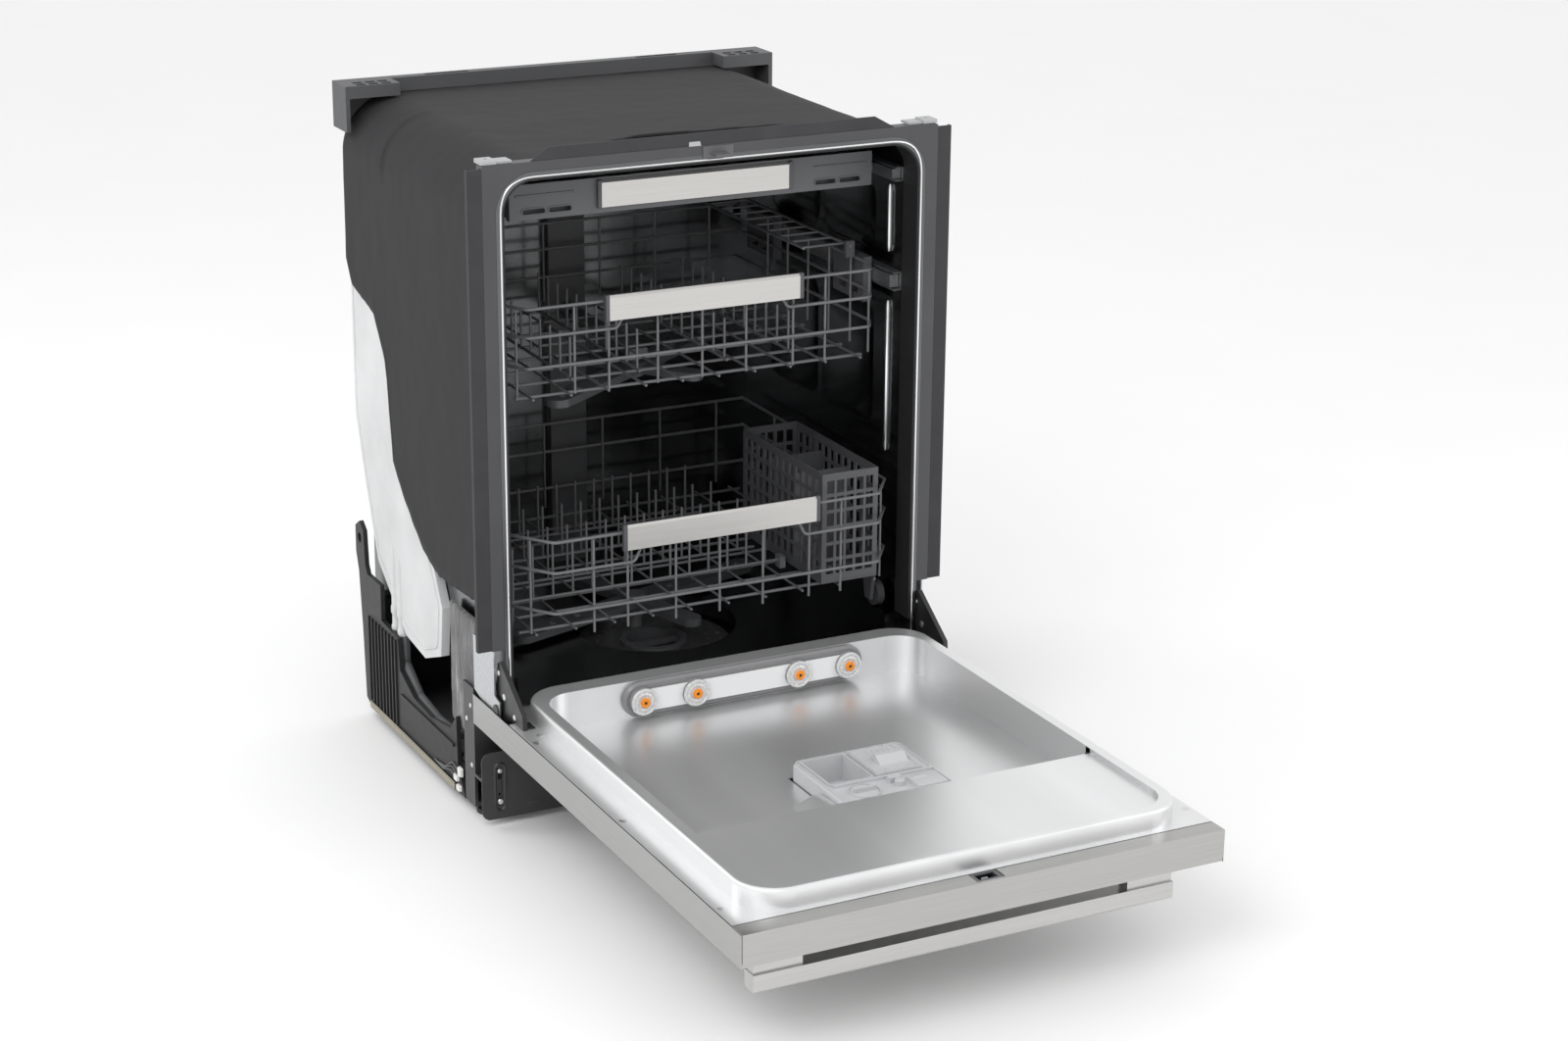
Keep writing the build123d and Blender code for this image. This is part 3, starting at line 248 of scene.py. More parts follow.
def rubber(name, color, roughness):
    """Extruded rubber, dull, with faint lines along its length."""
    paint = Paint(name, color, roughness, Specular_IOR_Level=0.35)
    paint.shade(paint.noise(24, detail=6), 0.14)
    paint.rough(paint.noise(120), roughness - 0.08, roughness + 0.08)
    paint.bump(paint.noise(1, detail=2, stretch=(1500, 1500, 20)), 0.00004)
    return paint.material


def coated_wire(name, color):
    """Nylon-coated rack wire, with a slightly uneven satin skin."""
    paint = Paint(name, color, 0.38, Coat_Weight=0.25, Coat_Roughness=0.25)
    paint.shade(paint.noise(70, detail=4), 0.08)
    paint.rough(paint.noise(200, detail=2), 0.3, 0.46)
    paint.bump(paint.noise(420, detail=2), 0.00012, 0.6)
    return paint.material


def bitumen_felt():
    """Dark felt bonded to bitumen: matted fibres, pale flecks and pressed patches."""
    paint = Paint("bitumen_felt_look", (0.045, 0.045, 0.048), 0.9, Sheen_Weight=0.04, Sheen_Roughness=0.5,
                  Specular_IOR_Level=0.25)
    fibres = paint.noise(420, detail=6, stretch=(1, 2.2, 1), distortion=1.4)
    patches = paint.noise(9, detail=5)
    mixed = paint.node("ShaderNodeMath", Value=fibres)
    mixed.operation = "MULTIPLY_ADD"
    paint.feed(mixed.inputs[1], 0.35)
    paint.feed(mixed.inputs[2], paint.span(patches, 0.1, 0.5))
    paint.tint(mixed.outputs[0], [(0.2, (0.017, 0.017, 0.018)), (0.55, (0.027, 0.027, 0.029)),
                                  (0.8, (0.045, 0.045, 0.048))])
    paint.rough(patches, 0.78, 0.95)
    paint.bump(fibres, 0.0004, 0.7)
    paint.bump(patches, 0.004, 0.25)
    return paint.material


def fibre_wool():
    """Loose grey recycled fibre, streaked downwards."""
    paint = Paint("fibre_wool_look", (0.2, 0.2, 0.2), 0.95, Sheen_Weight=0.4, Sheen_Roughness=0.6)
    streaks = paint.noise(1, detail=8, stretch=(150, 150, 11), rough=0.7, distortion=1.1)
    patches = paint.noise(16, detail=4)
    mixed = paint.node("ShaderNodeMath", Value=streaks)
    mixed.operation = "MULTIPLY_ADD"
    paint.feed(mixed.inputs[1], 0.8)
    paint.feed(mixed.inputs[2], paint.span(patches, -0.4, 0.4))
    paint.tint(mixed.outputs[0], [(0.3, (0.012, 0.012, 0.013)), (0.46, (0.06, 0.06, 0.062)),
                                  (0.56, (0.16, 0.16, 0.16)), (0.76, (0.46, 0.455, 0.45))])
    paint.bump(streaks, 0.003, 0.9)
    paint.bump(paint.noise(600, detail=4, stretch=(1, 1, 0.2)), 0.0008, 0.8)
    return paint.material


def milky(name, color):
    """Thin milky polypropylene, a little light coming through, with weld lines."""
    paint = Paint(name, color, 0.42, Subsurface_Weight=0.25, Subsurface_Scale=0.006,
                  Subsurface_Radius=(1, 1, 1))
    paint.shade(paint.noise(9, detail=6), 0.13)
    paint.rough(paint.noise(26, detail=4), 0.34, 0.55)
    paint.bump(paint.noise(18, detail=3), 0.0022, 0.5)
    paint.bump(paint.noise(700, detail=1), 0.00005)
    return paint.material


def mesh_steel():
    """Etched filter sheet: a fine grid of holes drawn in colour and relief."""
    paint = Paint("filter_mesh_look", (0.3, 0.3, 0.31), 0.36, 0.9)
    grid = paint.cells(900)
    paint.tint(grid, [(0.12, (0.03, 0.03, 0.03)), (0.4, (0.3, 0.3, 0.31))])
    paint.bump(grid, 0.0003, 0.8)
    return paint.material


def clear_dome():
    """Clear moulded dome, faceted inside."""
    paint = Paint("jet_dome_look", (0.95, 0.96, 0.97), 0.08, Transmission_Weight=0.72, IOR=1.49)
    facets = paint.cells(170)
    paint.rough(facets, 0.04, 0.22)
    paint.bump(facets, 0.0012, 0.55)
    return paint.material


def stepped_bar():
    """White moulded strip on a darker sloped base, told apart by how far the face stands out."""
    paint = Paint("bar_plastic_look", (0.78, 0.785, 0.79), 0.3)
    depth = paint.node("ShaderNodeSeparateXYZ", Vector=paint.space).outputs["Y"]
    step = paint.node("ShaderNodeMapRange", Value=depth)
    step.inputs["From Min"].default_value = 0.0355
    step.inputs["From Max"].default_value = 0.0375
    paint.tint(step.outputs["Result"], [(0.3, (0.78, 0.785, 0.79)), (0.7, (0.22, 0.22, 0.225))])
    paint.rough(paint.noise(60, detail=3), 0.24, 0.4)
    paint.bump(paint.noise(1500, detail=2), 0.00002)
    return paint.material


def cut_facets():
    """Faceted clear ring of a jet, its colour lighter in some facet cells as painted glints where a facet
    catches the light.
    """
    paint = Paint("jet_facet_look", (0.93, 0.94, 0.95), 0.1, Transmission_Weight=0.35, IOR=1.49,
                  Coat_Weight=0.6, Coat_Roughness=0.05)
    facet_cells = paint.cells(420)
    # Colour lighter and darker cell by cell: painted glints, besides the real ones from the bump and coat.
    paint.shade(facet_cells, 0.2)
    paint.rough(facet_cells, 0.04, 0.2)
    paint.bump(facet_cells, 0.0004, 0.6)
    return paint.material


def amber():
    """Amber nozzle insert with soft mottling."""
    paint = Paint("jet_amber_look", (0.9, 0.27, 0.01), 0.3, Subsurface_Weight=0.1, Subsurface_Scale=0.002)
    paint.shade(paint.noise(300, detail=4), 0.22)
    paint.bump(paint.noise(900), 0.0001)
    return paint.material


make_camera()
make_studio()

LOOKS = {
    # Tub steel colour far darker than stainless: painted shade for the inside of the tub, which is closed on
    # five sides.
    "tub_steel": drawn_steel("tub_steel_painted_shade_look", (0.15, 0.153, 0.157), 0.2, 0.0022),
    "liner_steel": liner_steel(),
    "skin_x": brushed("skin_brushed_look", (0.43, 0.43, 0.425), 0.32, "Y"),
    "strip": brushed("strip_brushed_look", (0.46, 0.455, 0.445), 0.32, "X"),
    "handle": brushed("handle_brushed_look", (0.56, 0.555, 0.545), 0.3, "X"),
    "plate": brushed("plate_brushed_look", (0.6, 0.59, 0.57), 0.32, "X", 1.3),
    # Bead steel colour far lighter than the tub's: painted highlight along the beads.
    "bead_highlight": drawn_steel("bead_steel_painted_highlight_look", (0.86, 0.865, 0.87), 0.14, 0.0004),
    "zinc": galvanised("galvanised_look", (0.55, 0.57, 0.58), 0.36),
    "spring": galvanised("spring_wire_look", (0.3, 0.3, 0.31), 0.4),
    "rail": galvanised("rolled_rail_look", (0.5, 0.51, 0.52), 0.32),
    "screw": galvanised("screw_zinc_look", (0.72, 0.72, 0.7), 0.3),
    "filter": mesh_steel(),
    "seal": rubber("seal_rubber_look", (0.015, 0.015, 0.016), 0.6),
    "trim": rubber("trim_rubber_look", (0.035, 0.035, 0.038), 0.62),
    "frame": enamel("frame_enamel_look", (0.05, 0.05, 0.054), 0.45),
    "arm": enamel("arm_enamel_look", (0.014, 0.014, 0.015), 0.38),
    "kick": enamel("kick_enamel_look", (0.028, 0.028, 0.03), 0.42),
    "felt": bitumen_felt(),
    "wool": fibre_wool(),
    "base": moulded("base_plastic_look", (0.014, 0.014, 0.015), 0.5, 800, 0.00006),
    "foot": moulded("foot_plastic_look", (0.03, 0.03, 0.032), 0.55),
    "catch": moulded("catch_plastic_look", (0.1, 0.1, 0.105), 0.45),
    "clip": moulded("clip_plastic_look", (0.4, 0.41, 0.42), 0.45),
    "bracket": moulded("bracket_plastic_look", (0.075, 0.076, 0.08), 0.5, 900),
    "milky": milky("milky_plastic_look", (0.6, 0.605, 0.61)),
    "white": moulded("white_plastic_look", (0.78, 0.78, 0.76), 0.42),
    "hose": rubber("hose_rubber_look", (0.13, 0.135, 0.14), 0.45),
    "sump": moulded("sump_plastic_look", (0.11, 0.11, 0.115), 0.5),
    "pump": moulded("pump_plastic_look", (0.09, 0.09, 0.095), 0.45),
    "conduit": moulded("conduit_plastic_look", (0.07, 0.072, 0.076), 0.4),
    "bar": stepped_bar(),
    "dome": clear_dome(),
    "facet": cut_facets(),
    "amber": amber(),
    "dispenser": moulded("dispenser_plastic_look", (0.52, 0.53, 0.54), 0.4, 1500, 0.00002, 0.03),
    "tan": moulded("strip_paper_look", (0.4, 0.37, 0.3), 0.7, 500),
    # Near-black plug for the jet openings: painted shade inside the holes.
    "dot": moulded("jet_opening_painted_shade_look", (0.02, 0.02, 0.02), 0.6),
    "wire": coated_wire("coated_wire_look", (0.125, 0.127, 0.133)),
    "basket": moulded("basket_plastic_look", (0.075, 0.076, 0.082), 0.46),
    "tray": moulded("tray_plastic_look", (0.1, 0.102, 0.108), 0.44),
}

NODE_LOOKS = {
    "tub": "tub_steel", "tub_floor": "tub_steel", "tub_gasket": "seal", "front_frame": "frame",
    "frame_trims": "trim", "corner_clips": "clip", "door_catch": "catch", "insulation_blanket": "felt",
    "rear_bracket": "bracket", "base_pan": "base", "leg_brackets": "kick", "rear_feet": "foot",
    "front_foot_right": "foot", "front_foot_left": "foot", "kick_plate": "kick", "hinge_plates": "zinc",
    "door_springs": "spring", "felt_pads": "wool", "air_break": "milky", "drain_hose": "hose",
    "inlet_valve": "white", "sump": "sump", "wash_pump": "pump", "drain_pump": "pump",
    "steam_generator": "white", "water_conduit": "conduit", "filter_plate": "filter",
    "filter_cup": "conduit", "rack_rails": "rail", "lower_spray_arm": "conduit",
    "upper_spray_arm": "conduit", "top_spray_arm": "conduit", "door_outer_panel": "skin_x",
    "door_liner": "liner_steel", "control_panel": "strip", "door_handle": "handle", "hinge_arms": "arm",
    "nozzle_bar": "bar", "steam_jets": "dome", "dispenser_body": "dispenser",
    "detergent_lid": "dispenser", "rinse_cap": "dispenser", "latch_housing": "catch",
    "latch_hook": "rail", "lower_rack": "wire", "lower_plate": "plate", "cutlery_basket": "basket",
    "folding_tines": "wire", "wheels_front": "basket", "wheels_rear": "basket", "upper_rack": "wire",
    "upper_plate": "plate", "height_adjusters": "basket", "upper_feed": "conduit",
    "upper_runners": "rail", "cup_shelf": "wire", "third_tray": "tray", "third_front": "tray",
    "third_plate": "plate", "third_runners": "rail",
}

for node, look in NODE_LOOKS.items():
    mesh = NODES[node].data
    mesh.materials.clear()
    mesh.materials.append(LOOKS[look])


# --- Mesh helpers. Millimetres, with Y = 0 on the front face of the tub frame ---
def spot(x, y, z):
    """A point of the machine, in metres in the frame of the CAD."""
    return Vector((x / 1000, y / 1000 + FRONT_Y, z / 1000))


def slotted(x, z, width, height, steps=8):
    """Outline of a rounded slot or disc about a centre, as pairs."""
    radius = min(width, height) / 2
    points = []
    for i in range(4 * steps):
        angle = 2 * math.pi * (i + 0.5) / (4 * steps)
        dx = math.copysign(width / 2 - radius, math.cos(angle))
        dz = math.copysign(height / 2 - radius, math.sin(angle))
        points.append((x + dx + radius * math.cos(angle), z + dz + radius * math.sin(angle)))
    return points


def rounded(x0, x1, z0, z1, radius, steps=5):
    """Outline of a rectangle with rounded corners, as pairs."""
    points = []
    for cx, cz, start in ((x1 - radius, z1 - radius, 0), (x0 + radius, z1 - radius, 90),
                          (x0 + radius, z0 + radius, 180), (x1 - radius, z0 + radius, 270)):
        for i in range(steps + 1):
            angle = math.radians(start + 90 * i / steps)
            points.append((cx + radius * math.cos(angle), cz + radius * math.sin(angle)))
    return points


def place(pair, level, axis):
    """A point from an outline's pair and its level along an axis."""
    a, b = pair
    return spot(*{"X": (level, a, b), "Y": (a, level, b), "Z": (a, b, level)}[axis])


def loft(mesh, sections, axis, ends=(True, True)):
    """Skin over outlines of the same count, each with its level along an axis."""
    loops = [[mesh.verts.new(place(pair, level, axis)) for pair in outline] for outline, level in sections]
    for low, high in zip(loops, loops[1:]):
        for i in range(len(low)):
            j = (i + 1) % len(low)
            mesh.faces.new((low[i], low[j], high[j], high[i]))
    if ends[0]:
        mesh.faces.new(loops[0][::-1])
    if ends[1]:
        mesh.faces.new(loops[-1])


def turned(mesh, profile, middle, axis, sides=24):
    """Turned shape: a profile of (radius, level) pairs about an axis through a middle."""
    cx, cy, cz = middle
    a, b = {"X": (cy, cz), "Y": (cx, cz), "Z": (cx, cy)}[axis]
    angles = [2 * math.pi * i / sides for i in range(sides)]
    sections = []
    for radius, level in profile:
        ring = [(a + radius * math.cos(angle), b + radius * math.sin(angle)) for angle in angles]
        sections.append((ring, level))
    loft(mesh, sections, axis)


def ring_band(mesh, outer, inner, low, high, axis):
    """Raised band between two outlines, from a low to a high level."""
    levels = [(outer, low), (outer, high), (inner, high), (inner, low)]
    loft(mesh, levels, axis, ends=(False, False))


def pipe(mesh, path, radius, sides=12):
    """Skin of a pipe along a path of points in metres. The radius is a number or a function of the index."""
    side = (path[1] - path[0]).orthogonal().normalized()
    loops = []
    for i, point in enumerate(path):
        way = (path[min(i + 1, len(path) - 1)] - path[max(i - 1, 0)]).normalized()
        side = (side - way * side.dot(way)).normalized()
        cross = way.cross(side)
        r = radius(i) if callable(radius) else radius
        loops.append([mesh.verts.new(point + r / 1000 * (side * math.cos(2 * math.pi * k / sides)
                                                         + cross * math.sin(2 * math.pi * k / sides)))
                      for k in range(sides)])
    for low, high in zip(loops, loops[1:]):
        for i in range(sides):
            j = (i + 1) % sides
            mesh.faces.new((low[i], low[j], high[j], high[i]))
    mesh.faces.new(loops[0][::-1])
    mesh.faces.new(loops[-1])


def bent_path(points, radius, pace):
    """Points along straight runs joined by round bends, evenly spaced by a pace in millimetres."""
    corners = [spot(*p) for p in points]
    dense = [corners[0]]
    for before, corner, after in zip(corners, corners[1:], corners[2:]):
        back, ahead = before - corner, after - corner
        turn = math.pi - back.angle(ahead)
        trim = min(radius / 1000 * math.tan(turn / 2), 0.45 * min(back.length, ahead.length))
        start, end = corner + back.normalized() * trim, corner + ahead.normalized() * trim
        for i in range(9):
            t = i / 8
            dense.append(start * (1 - t) ** 2 + corner * 2 * t * (1 - t) + end * t ** 2)
    dense.append(corners[-1])
    path = [dense[0]]
    spare = 0.0
    for a, b in zip(dense, dense[1:]):
        run = (b - a).length
        reach = pace / 1000 - spare
        while reach <= run:
            path.append(a.lerp(b, reach / run))
            reach += pace / 1000
        spare = run - (reach - pace / 1000)
    return path


def piece(name, mesh, look, body, smooth=40.0):
    """Finish a bmesh as an object that rides on a body, smooth except at edges over an angle."""
    bmesh.ops.recalc_face_normals(mesh, faces=mesh.faces)
    data = bpy.data.meshes.new(name)
    mesh.to_mesh(data)
    mesh.free()
    made = bpy.data.objects.new(name, data)
    bpy.context.scene.collection.objects.link(made)
    data.materials.append(LOOKS[look])
    for face in data.polygons:
        face.use_smooth = True
    data.set_sharp_from_angle(angle=math.radians(smooth))
    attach(made, body)
    return made


def soften(made, width, segments=2, angle=40.0):
    """Small rounding along an object's sharp edges, in millimetres."""
    bevel = made.modifiers.new("edges", "BEVEL")
    bevel.width = width / 1000
    bevel.segments = segments
    bevel.limit_method = "ANGLE"
    bevel.angle_limit = math.radians(angle)
    return made


# --- Soft pieces ---
BLANKET = dict(half=293.5, top=838.5, corner=70.0, y=(18.0, 496.0))
BLANKET_EDGE = [(17, 299), (110, 291), (187, 287), (243, 306), (300, 350), (342, 395), (352, 460), (359, 522),
                (397, 577), (477, 598), (497, 632)]
BLANKET_CUT = [(-110, 10), (-100, 92), (-60, 108), (36, 104), (120, 96), (160, 80), (170, 10)]
HEM = 26  # width of the lower edge that lifts
MOST_LIFT = 2.2


def edge_height(y):
    """Height of the blanket's lower edge at a depth."""
    for (y0, z0), (y1, z1) in zip(BLANKET_EDGE, BLANKET_EDGE[1:]):
        if y <= y1:
            t = (y - y0) / (y1 - y0)
            return z0 + (z1 - z0) * t
    return BLANKET_EDGE[-1][1]


def arch_point(reach):
    """Point and outward direction on the arch, at a distance from the top middle, + to the right."""
    half, top, corner = BLANKET["half"], BLANKET["top"], BLANKET["corner"]
    side = math.copysign(1, reach)
    run = abs(reach)
    flat = half - corner
    bend = corner * math.pi / 2
    if run <= flat:
        return side * run, top, (0, 1)
    if run <= flat + bend:
        angle = (run - flat) / corner
        out = (side * math.sin(angle), math.cos(angle))
        return side * flat + corner * out[0], top - corner + corner * out[1], out
    return side * half, top - corner - (run - flat - bend), (side, 0)


def inside(x, y, outline):
    """Whether a point lies in an outline."""
    hit = False
    for (x0, y0), (x1, y1) in zip(outline, outline[1:] + outline[:1]):
        if (y0 > y) != (y1 > y) and x < x0 + (y - y0) * (x1 - x0) / (y1 - y0):
            hit = not hit
    return hit


def make_blanket():
    """Felt and bitumen sheet over the tub: slack waves, lifted edges and a cut-out at the top front."""
    mesh = bmesh.new()
    y0, y1 = BLANKET["y"]
    columns, rows = 96, 150
    grid = []
    longest = 0.0
    for i in range(columns + 1):
        y = y0 + (y1 - y0) * i / columns
        reach_max = (BLANKET["half"] - BLANKET["corner"] + BLANKET["corner"] * math.pi / 2
                     + BLANKET["top"] - BLANKET["corner"] - edge_height(y) - 3 * noise.noise((y / 14, 3, 0)))
        longest = max(longest, 2 * reach_max)
        column = []
        for k in range(rows + 1):
            reach = reach_max * (2 * k / rows - 1)
            x, z, out = arch_point(reach)
            waves = 1.1 * noise.noise((x / 120, y / 90, z / 130))
            ripples = 0.5 * noise.noise((x / 30, y / 26, z / 34))
            slack = 0.9 + waves + ripples
            edge = max(0.0, 1 - (reach_max - abs(reach)) / HEM)
            hem = edge * (0.8 + 0.6 * noise.noise((y / 22, z / 30, 7)))
            lift = max(0.0, min(MOST_LIFT, slack + hem))
            column.append(mesh.verts.new(spot(x + out[0] * lift, y, z + out[1] * lift)))
        grid.append(column)
    cut_area = 0.0
    for i in range(columns):
        for k in range(rows):
            corners = (grid[i][k], grid[i + 1][k], grid[i + 1][k + 1], grid[i][k + 1])
            middle = sum((v.co for v in corners), Vector()) / 4
            face = mesh.faces.new(corners)
            x, y = middle.x * 1000, (middle.y - FRONT_Y) * 1000
            if middle.z > 0.8 and inside(x, y, BLANKET_CUT):
                cut_area += face.calc_area()
                mesh.faces.remove(face)
    loose = [v for v in mesh.verts if not v.link_faces]
    bmesh.ops.delete(mesh, geom=loose, context="VERTS")
    made = piece("insulation_felt", mesh, "felt", "cabinet", 60)
    shell = made.modifiers.new("thickness", "SOLIDIFY")
    shell.thickness = 0.0036
    shell.offset = 0
    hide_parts("insulation_blanket")


PAD_OUTLINE = [(81, 93), (133, 93), (175, 97), (179, 176), (175, 261), (75, 261), (75, 181), (81, 181)]


def settle(made, cap):
    """Swell a closed mesh a little as cloth under pressure, with no point moved over the cap in metres."""
    start = [v.co.copy() for v in made.data.vertices]
    cloth = made.modifiers.new("cloth", "CLOTH")
    cloth.settings.quality = 4
    cloth.settings.use_pressure = True
    cloth.settings.uniform_pressure_force = 4
    cloth.settings.effector_weights.gravity = 0
    scene = bpy.context.scene
    for frame_number in range(1, 21):
        scene.frame_set(frame_number)
    shaped = made.evaluated_get(bpy.context.evaluated_depsgraph_get()).data
    moved = [v.co.copy() for v in shaped.vertices]
    made.modifiers.remove(cloth)
    scene.frame_set(1)
    for vertex, old, new in zip(made.data.vertices, start, moved):
        shift = new - old
        if shift.length > cap:
            shift *= cap / shift.length
        vertex.co = old + shift


def make_wool_pad(side, name):
    """Loose fibre pad between the tub side and the base wall: swollen, with tufts running down."""
    mesh = bmesh.new()
    loft(mesh, [(PAD_OUTLINE, side * 283.2), (PAD_OUTLINE, side * 288.8)], "X")
    made = piece(name, mesh, "wool", "cabinet", 70)
    remesh = made.modifiers.new("even", "REMESH")
    remesh.mode = "VOXEL"
    remesh.voxel_size = 0.004
    even = bpy.data.meshes.new_from_object(made.evaluated_get(bpy.context.evaluated_depsgraph_get()))
    made.modifiers.clear()
    made.data = even
    settle(made, 0.0018)
    for vertex, normal in zip(made.data.vertices, [v.normal.copy() for v in made.data.vertices]):
        tuft = noise.noise(Vector((vertex.co.x * 60, vertex.co.y * 420, vertex.co.z * 45)))
        vertex.co += normal * 0.0007 * tuft
    for face in made.data.polygons:
        face.use_smooth = True
    made.modifiers.new("round", "SUBSURF").levels = 1
    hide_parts("felt_pads")


HOSE_ROUTE = [(-111, 144, 92), (-111, 126, 92), (-170, 130, 88), (-232, 134, 84), (-285, 168, 78),
              (-285, 232, 74), (-285, 300, 82), (-285, 352, 112), (-285, 352, 152)]


def make_hose():
    """Corrugated drain hose on its route, from the drain pump to the water guide."""
    mesh = bmesh.new()
    path = bent_path(HOSE_ROUTE, 12, 0.65)
    pipe(mesh, path, lambda i: (6.5, 6.45, 5.5, 5.45)[i % 4], 20)
    made = piece("drain_hose_ribbed", mesh, "hose", "cabinet", 75)
    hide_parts("drain_hose")


# --- Detail pieces ---
def make_plate_caps():
    """Dark end caps of each rack's front plate."""
    plates = {"lower": (133, -18, -12.8, 360, 392, "lower_basket"),
              "upper": (132, 31, 37.2, 636, 667, "upper_basket"),
              "third": (129, 58, 61.8, 769, 802, "cutlery_tray")}
    for name, (half, y0, y1, z0, z1, body) in plates.items():
        mesh = bmesh.new()
        for side in (-1, 1):
            low, high = sorted((side * (half - 3.5), side * (half + 1.6)))
            outline = rounded(y0 - 0.6, y1 + 0.5, z0 - 0.8, z1 + 0.8, 1.6)
            loft(mesh, [(outline, low), (outline, high)], "X")
        soften(piece(f"{name}_plate_caps", mesh, "basket", body), 0.5)


DOOR_FLANGE = 173.0  # level of the liner's flange
KICK_FACE = 44.0  # front face of the kick plate
KICK_SLOT = (278, 53)


def domed(mesh, middle, axis, radius, height, out):
    """Domed head of a screw or rivet, standing out along an axis."""
    level = middle["XYZ".index(axis)]
    rise = out * height
    steps = [(radius, level), (radius, level + rise * 0.35), (radius * 0.8, level + rise * 0.8),
             (radius * 0.42, level + rise)]
    turned(mesh, steps, middle, axis, 20)


def make_fasteners():
    """Rivets of the hinge arms, screws of the liner flange, of the kick plate and of the leg brackets."""
    mesh = bmesh.new()
    for side in (-1, 1):
        for y, z, radius in ((-14, 196, 4.2), (-46, 181, 3.6), (2, 222, 3.4)):
            domed(mesh, (side * 293, y, z), "X", radius, 1.6, side)
            domed(mesh, (side * 287, y, z), "X", radius, 1.4, -side)
    piece("hinge_rivets", mesh, "screw", "door", 35)
    mesh = bmesh.new()
    for side in (-1, 1):
        for x, y in ((279, -92), (292, -112), (292, -360), (292, -610)):
            domed(mesh, (side * x, y, DOOR_FLANGE), "Z", 4.0, 0.35, 1)
            loft(mesh, [(slotted(side * x, y, 10, 10, 5), DOOR_FLANGE + 0.02),
                        (slotted(side * x, y, 9.4, 9.4, 5), DOOR_FLANGE + 0.12)], "Z")
    piece("liner_screws", mesh, "screw", "door", 35)
    mesh = bmesh.new()
    for side in (-1, 1):
        domed(mesh, (side * KICK_SLOT[0], KICK_FACE, 33), "Y", 3.9, 2.2, -1)
        domed(mesh, (side * KICK_SLOT[0], KICK_FACE, 74), "Y", 3.0, 1.4, -1)
        for y, z in ((86, 150), (100, 128), (86, 70)):
            domed(mesh, (side * 298, y, z), "X", 3.2, 1.5, side)
    piece("cabinet_screws", mesh, "screw", "cabinet", 35)


def make_kick_details():
    """Raised rims around the slots of the kick plate, and the pressed beads beside them."""
    mesh = bmesh.new()
    x, z = KICK_SLOT
    foot = KICK_FACE - 0.05
    for side in (-1, 1):
        outer = slotted(side * x, z, 17, 66)
        crest = slotted(side * x, z, 13.5, 62.5)
        inner = slotted(side * x, z, 9.5, 58.5)
        loft(mesh, [(outer, foot), (crest, KICK_FACE - 2.2), (inner, foot)], "Y", ends=(False, False))
        bead = [(slotted(side * 230, 23.5, 26, 7), foot), (slotted(side * 230, 23.5, 22, 4), KICK_FACE - 1)]
        loft(mesh, bead, "Y", ends=(False, True))
    piece("kick_plate_rims", mesh, "kick", "cabinet", 60)


JETS = (-125.0, -54.0, 88.0, 159.0)
JET_LEVEL = 174.5
FACETS = 24
CROWN = ((13.4, -55.4, 0.7), (10.4, -56.4, -0.9), (7.4, -55.6, 0.8), (5.2, -56.8, 0))


def make_jets():
    """Faceted clear ring and amber nozzle of each steam jet, with a dark plug in its opening as painted
    shade.
    """
    clear, core, dots = bmesh.new(), bmesh.new(), bmesh.new()
    ring = [(17.2, -53.0), (17.6, -54.6), (16.4, -56.2), (14.6, -56.4), (13.6, -55.3)]
    angles = [math.radians(360 / FACETS * i) for i in range(FACETS)]
    for x in JETS:
        middle = (x, 0, JET_LEVEL)
        turned(clear, ring, middle, "Y", 36)
        crown = []
        for radius, depth, swing in CROWN:
            crown.append([clear.verts.new(spot(x + radius * math.cos(angle), depth + swing * (i % 2),
                                               JET_LEVEL + radius * math.sin(angle)))
                          for i, angle in enumerate(angles)])
        for low, high in zip(crown, crown[1:]):
            for i in range(FACETS):
                j = (i + 1) % FACETS
                clear.faces.new((low[i], low[j], high[j], high[i]))
        turned(core, [(6.8, -54.0), (6.6, -57.6), (5.6, -58.8), (2.6, -59.0), (1.9, -57.8)], middle, "Y", 8)
        # Dark plug in each nozzle's opening: painted shade inside the hole.
        turned(dots, [(1.9, -56.0), (1.8, -58.3)], middle, "Y", 12)
    piece("jet_crowns", clear, "facet", "door", 20)
    piece("jet_nozzles", core, "amber", "door", 30)
    piece("jet_openings", dots, "dot", "door", 30)


LID_TOP = 174  # level of the detergent lid's plate


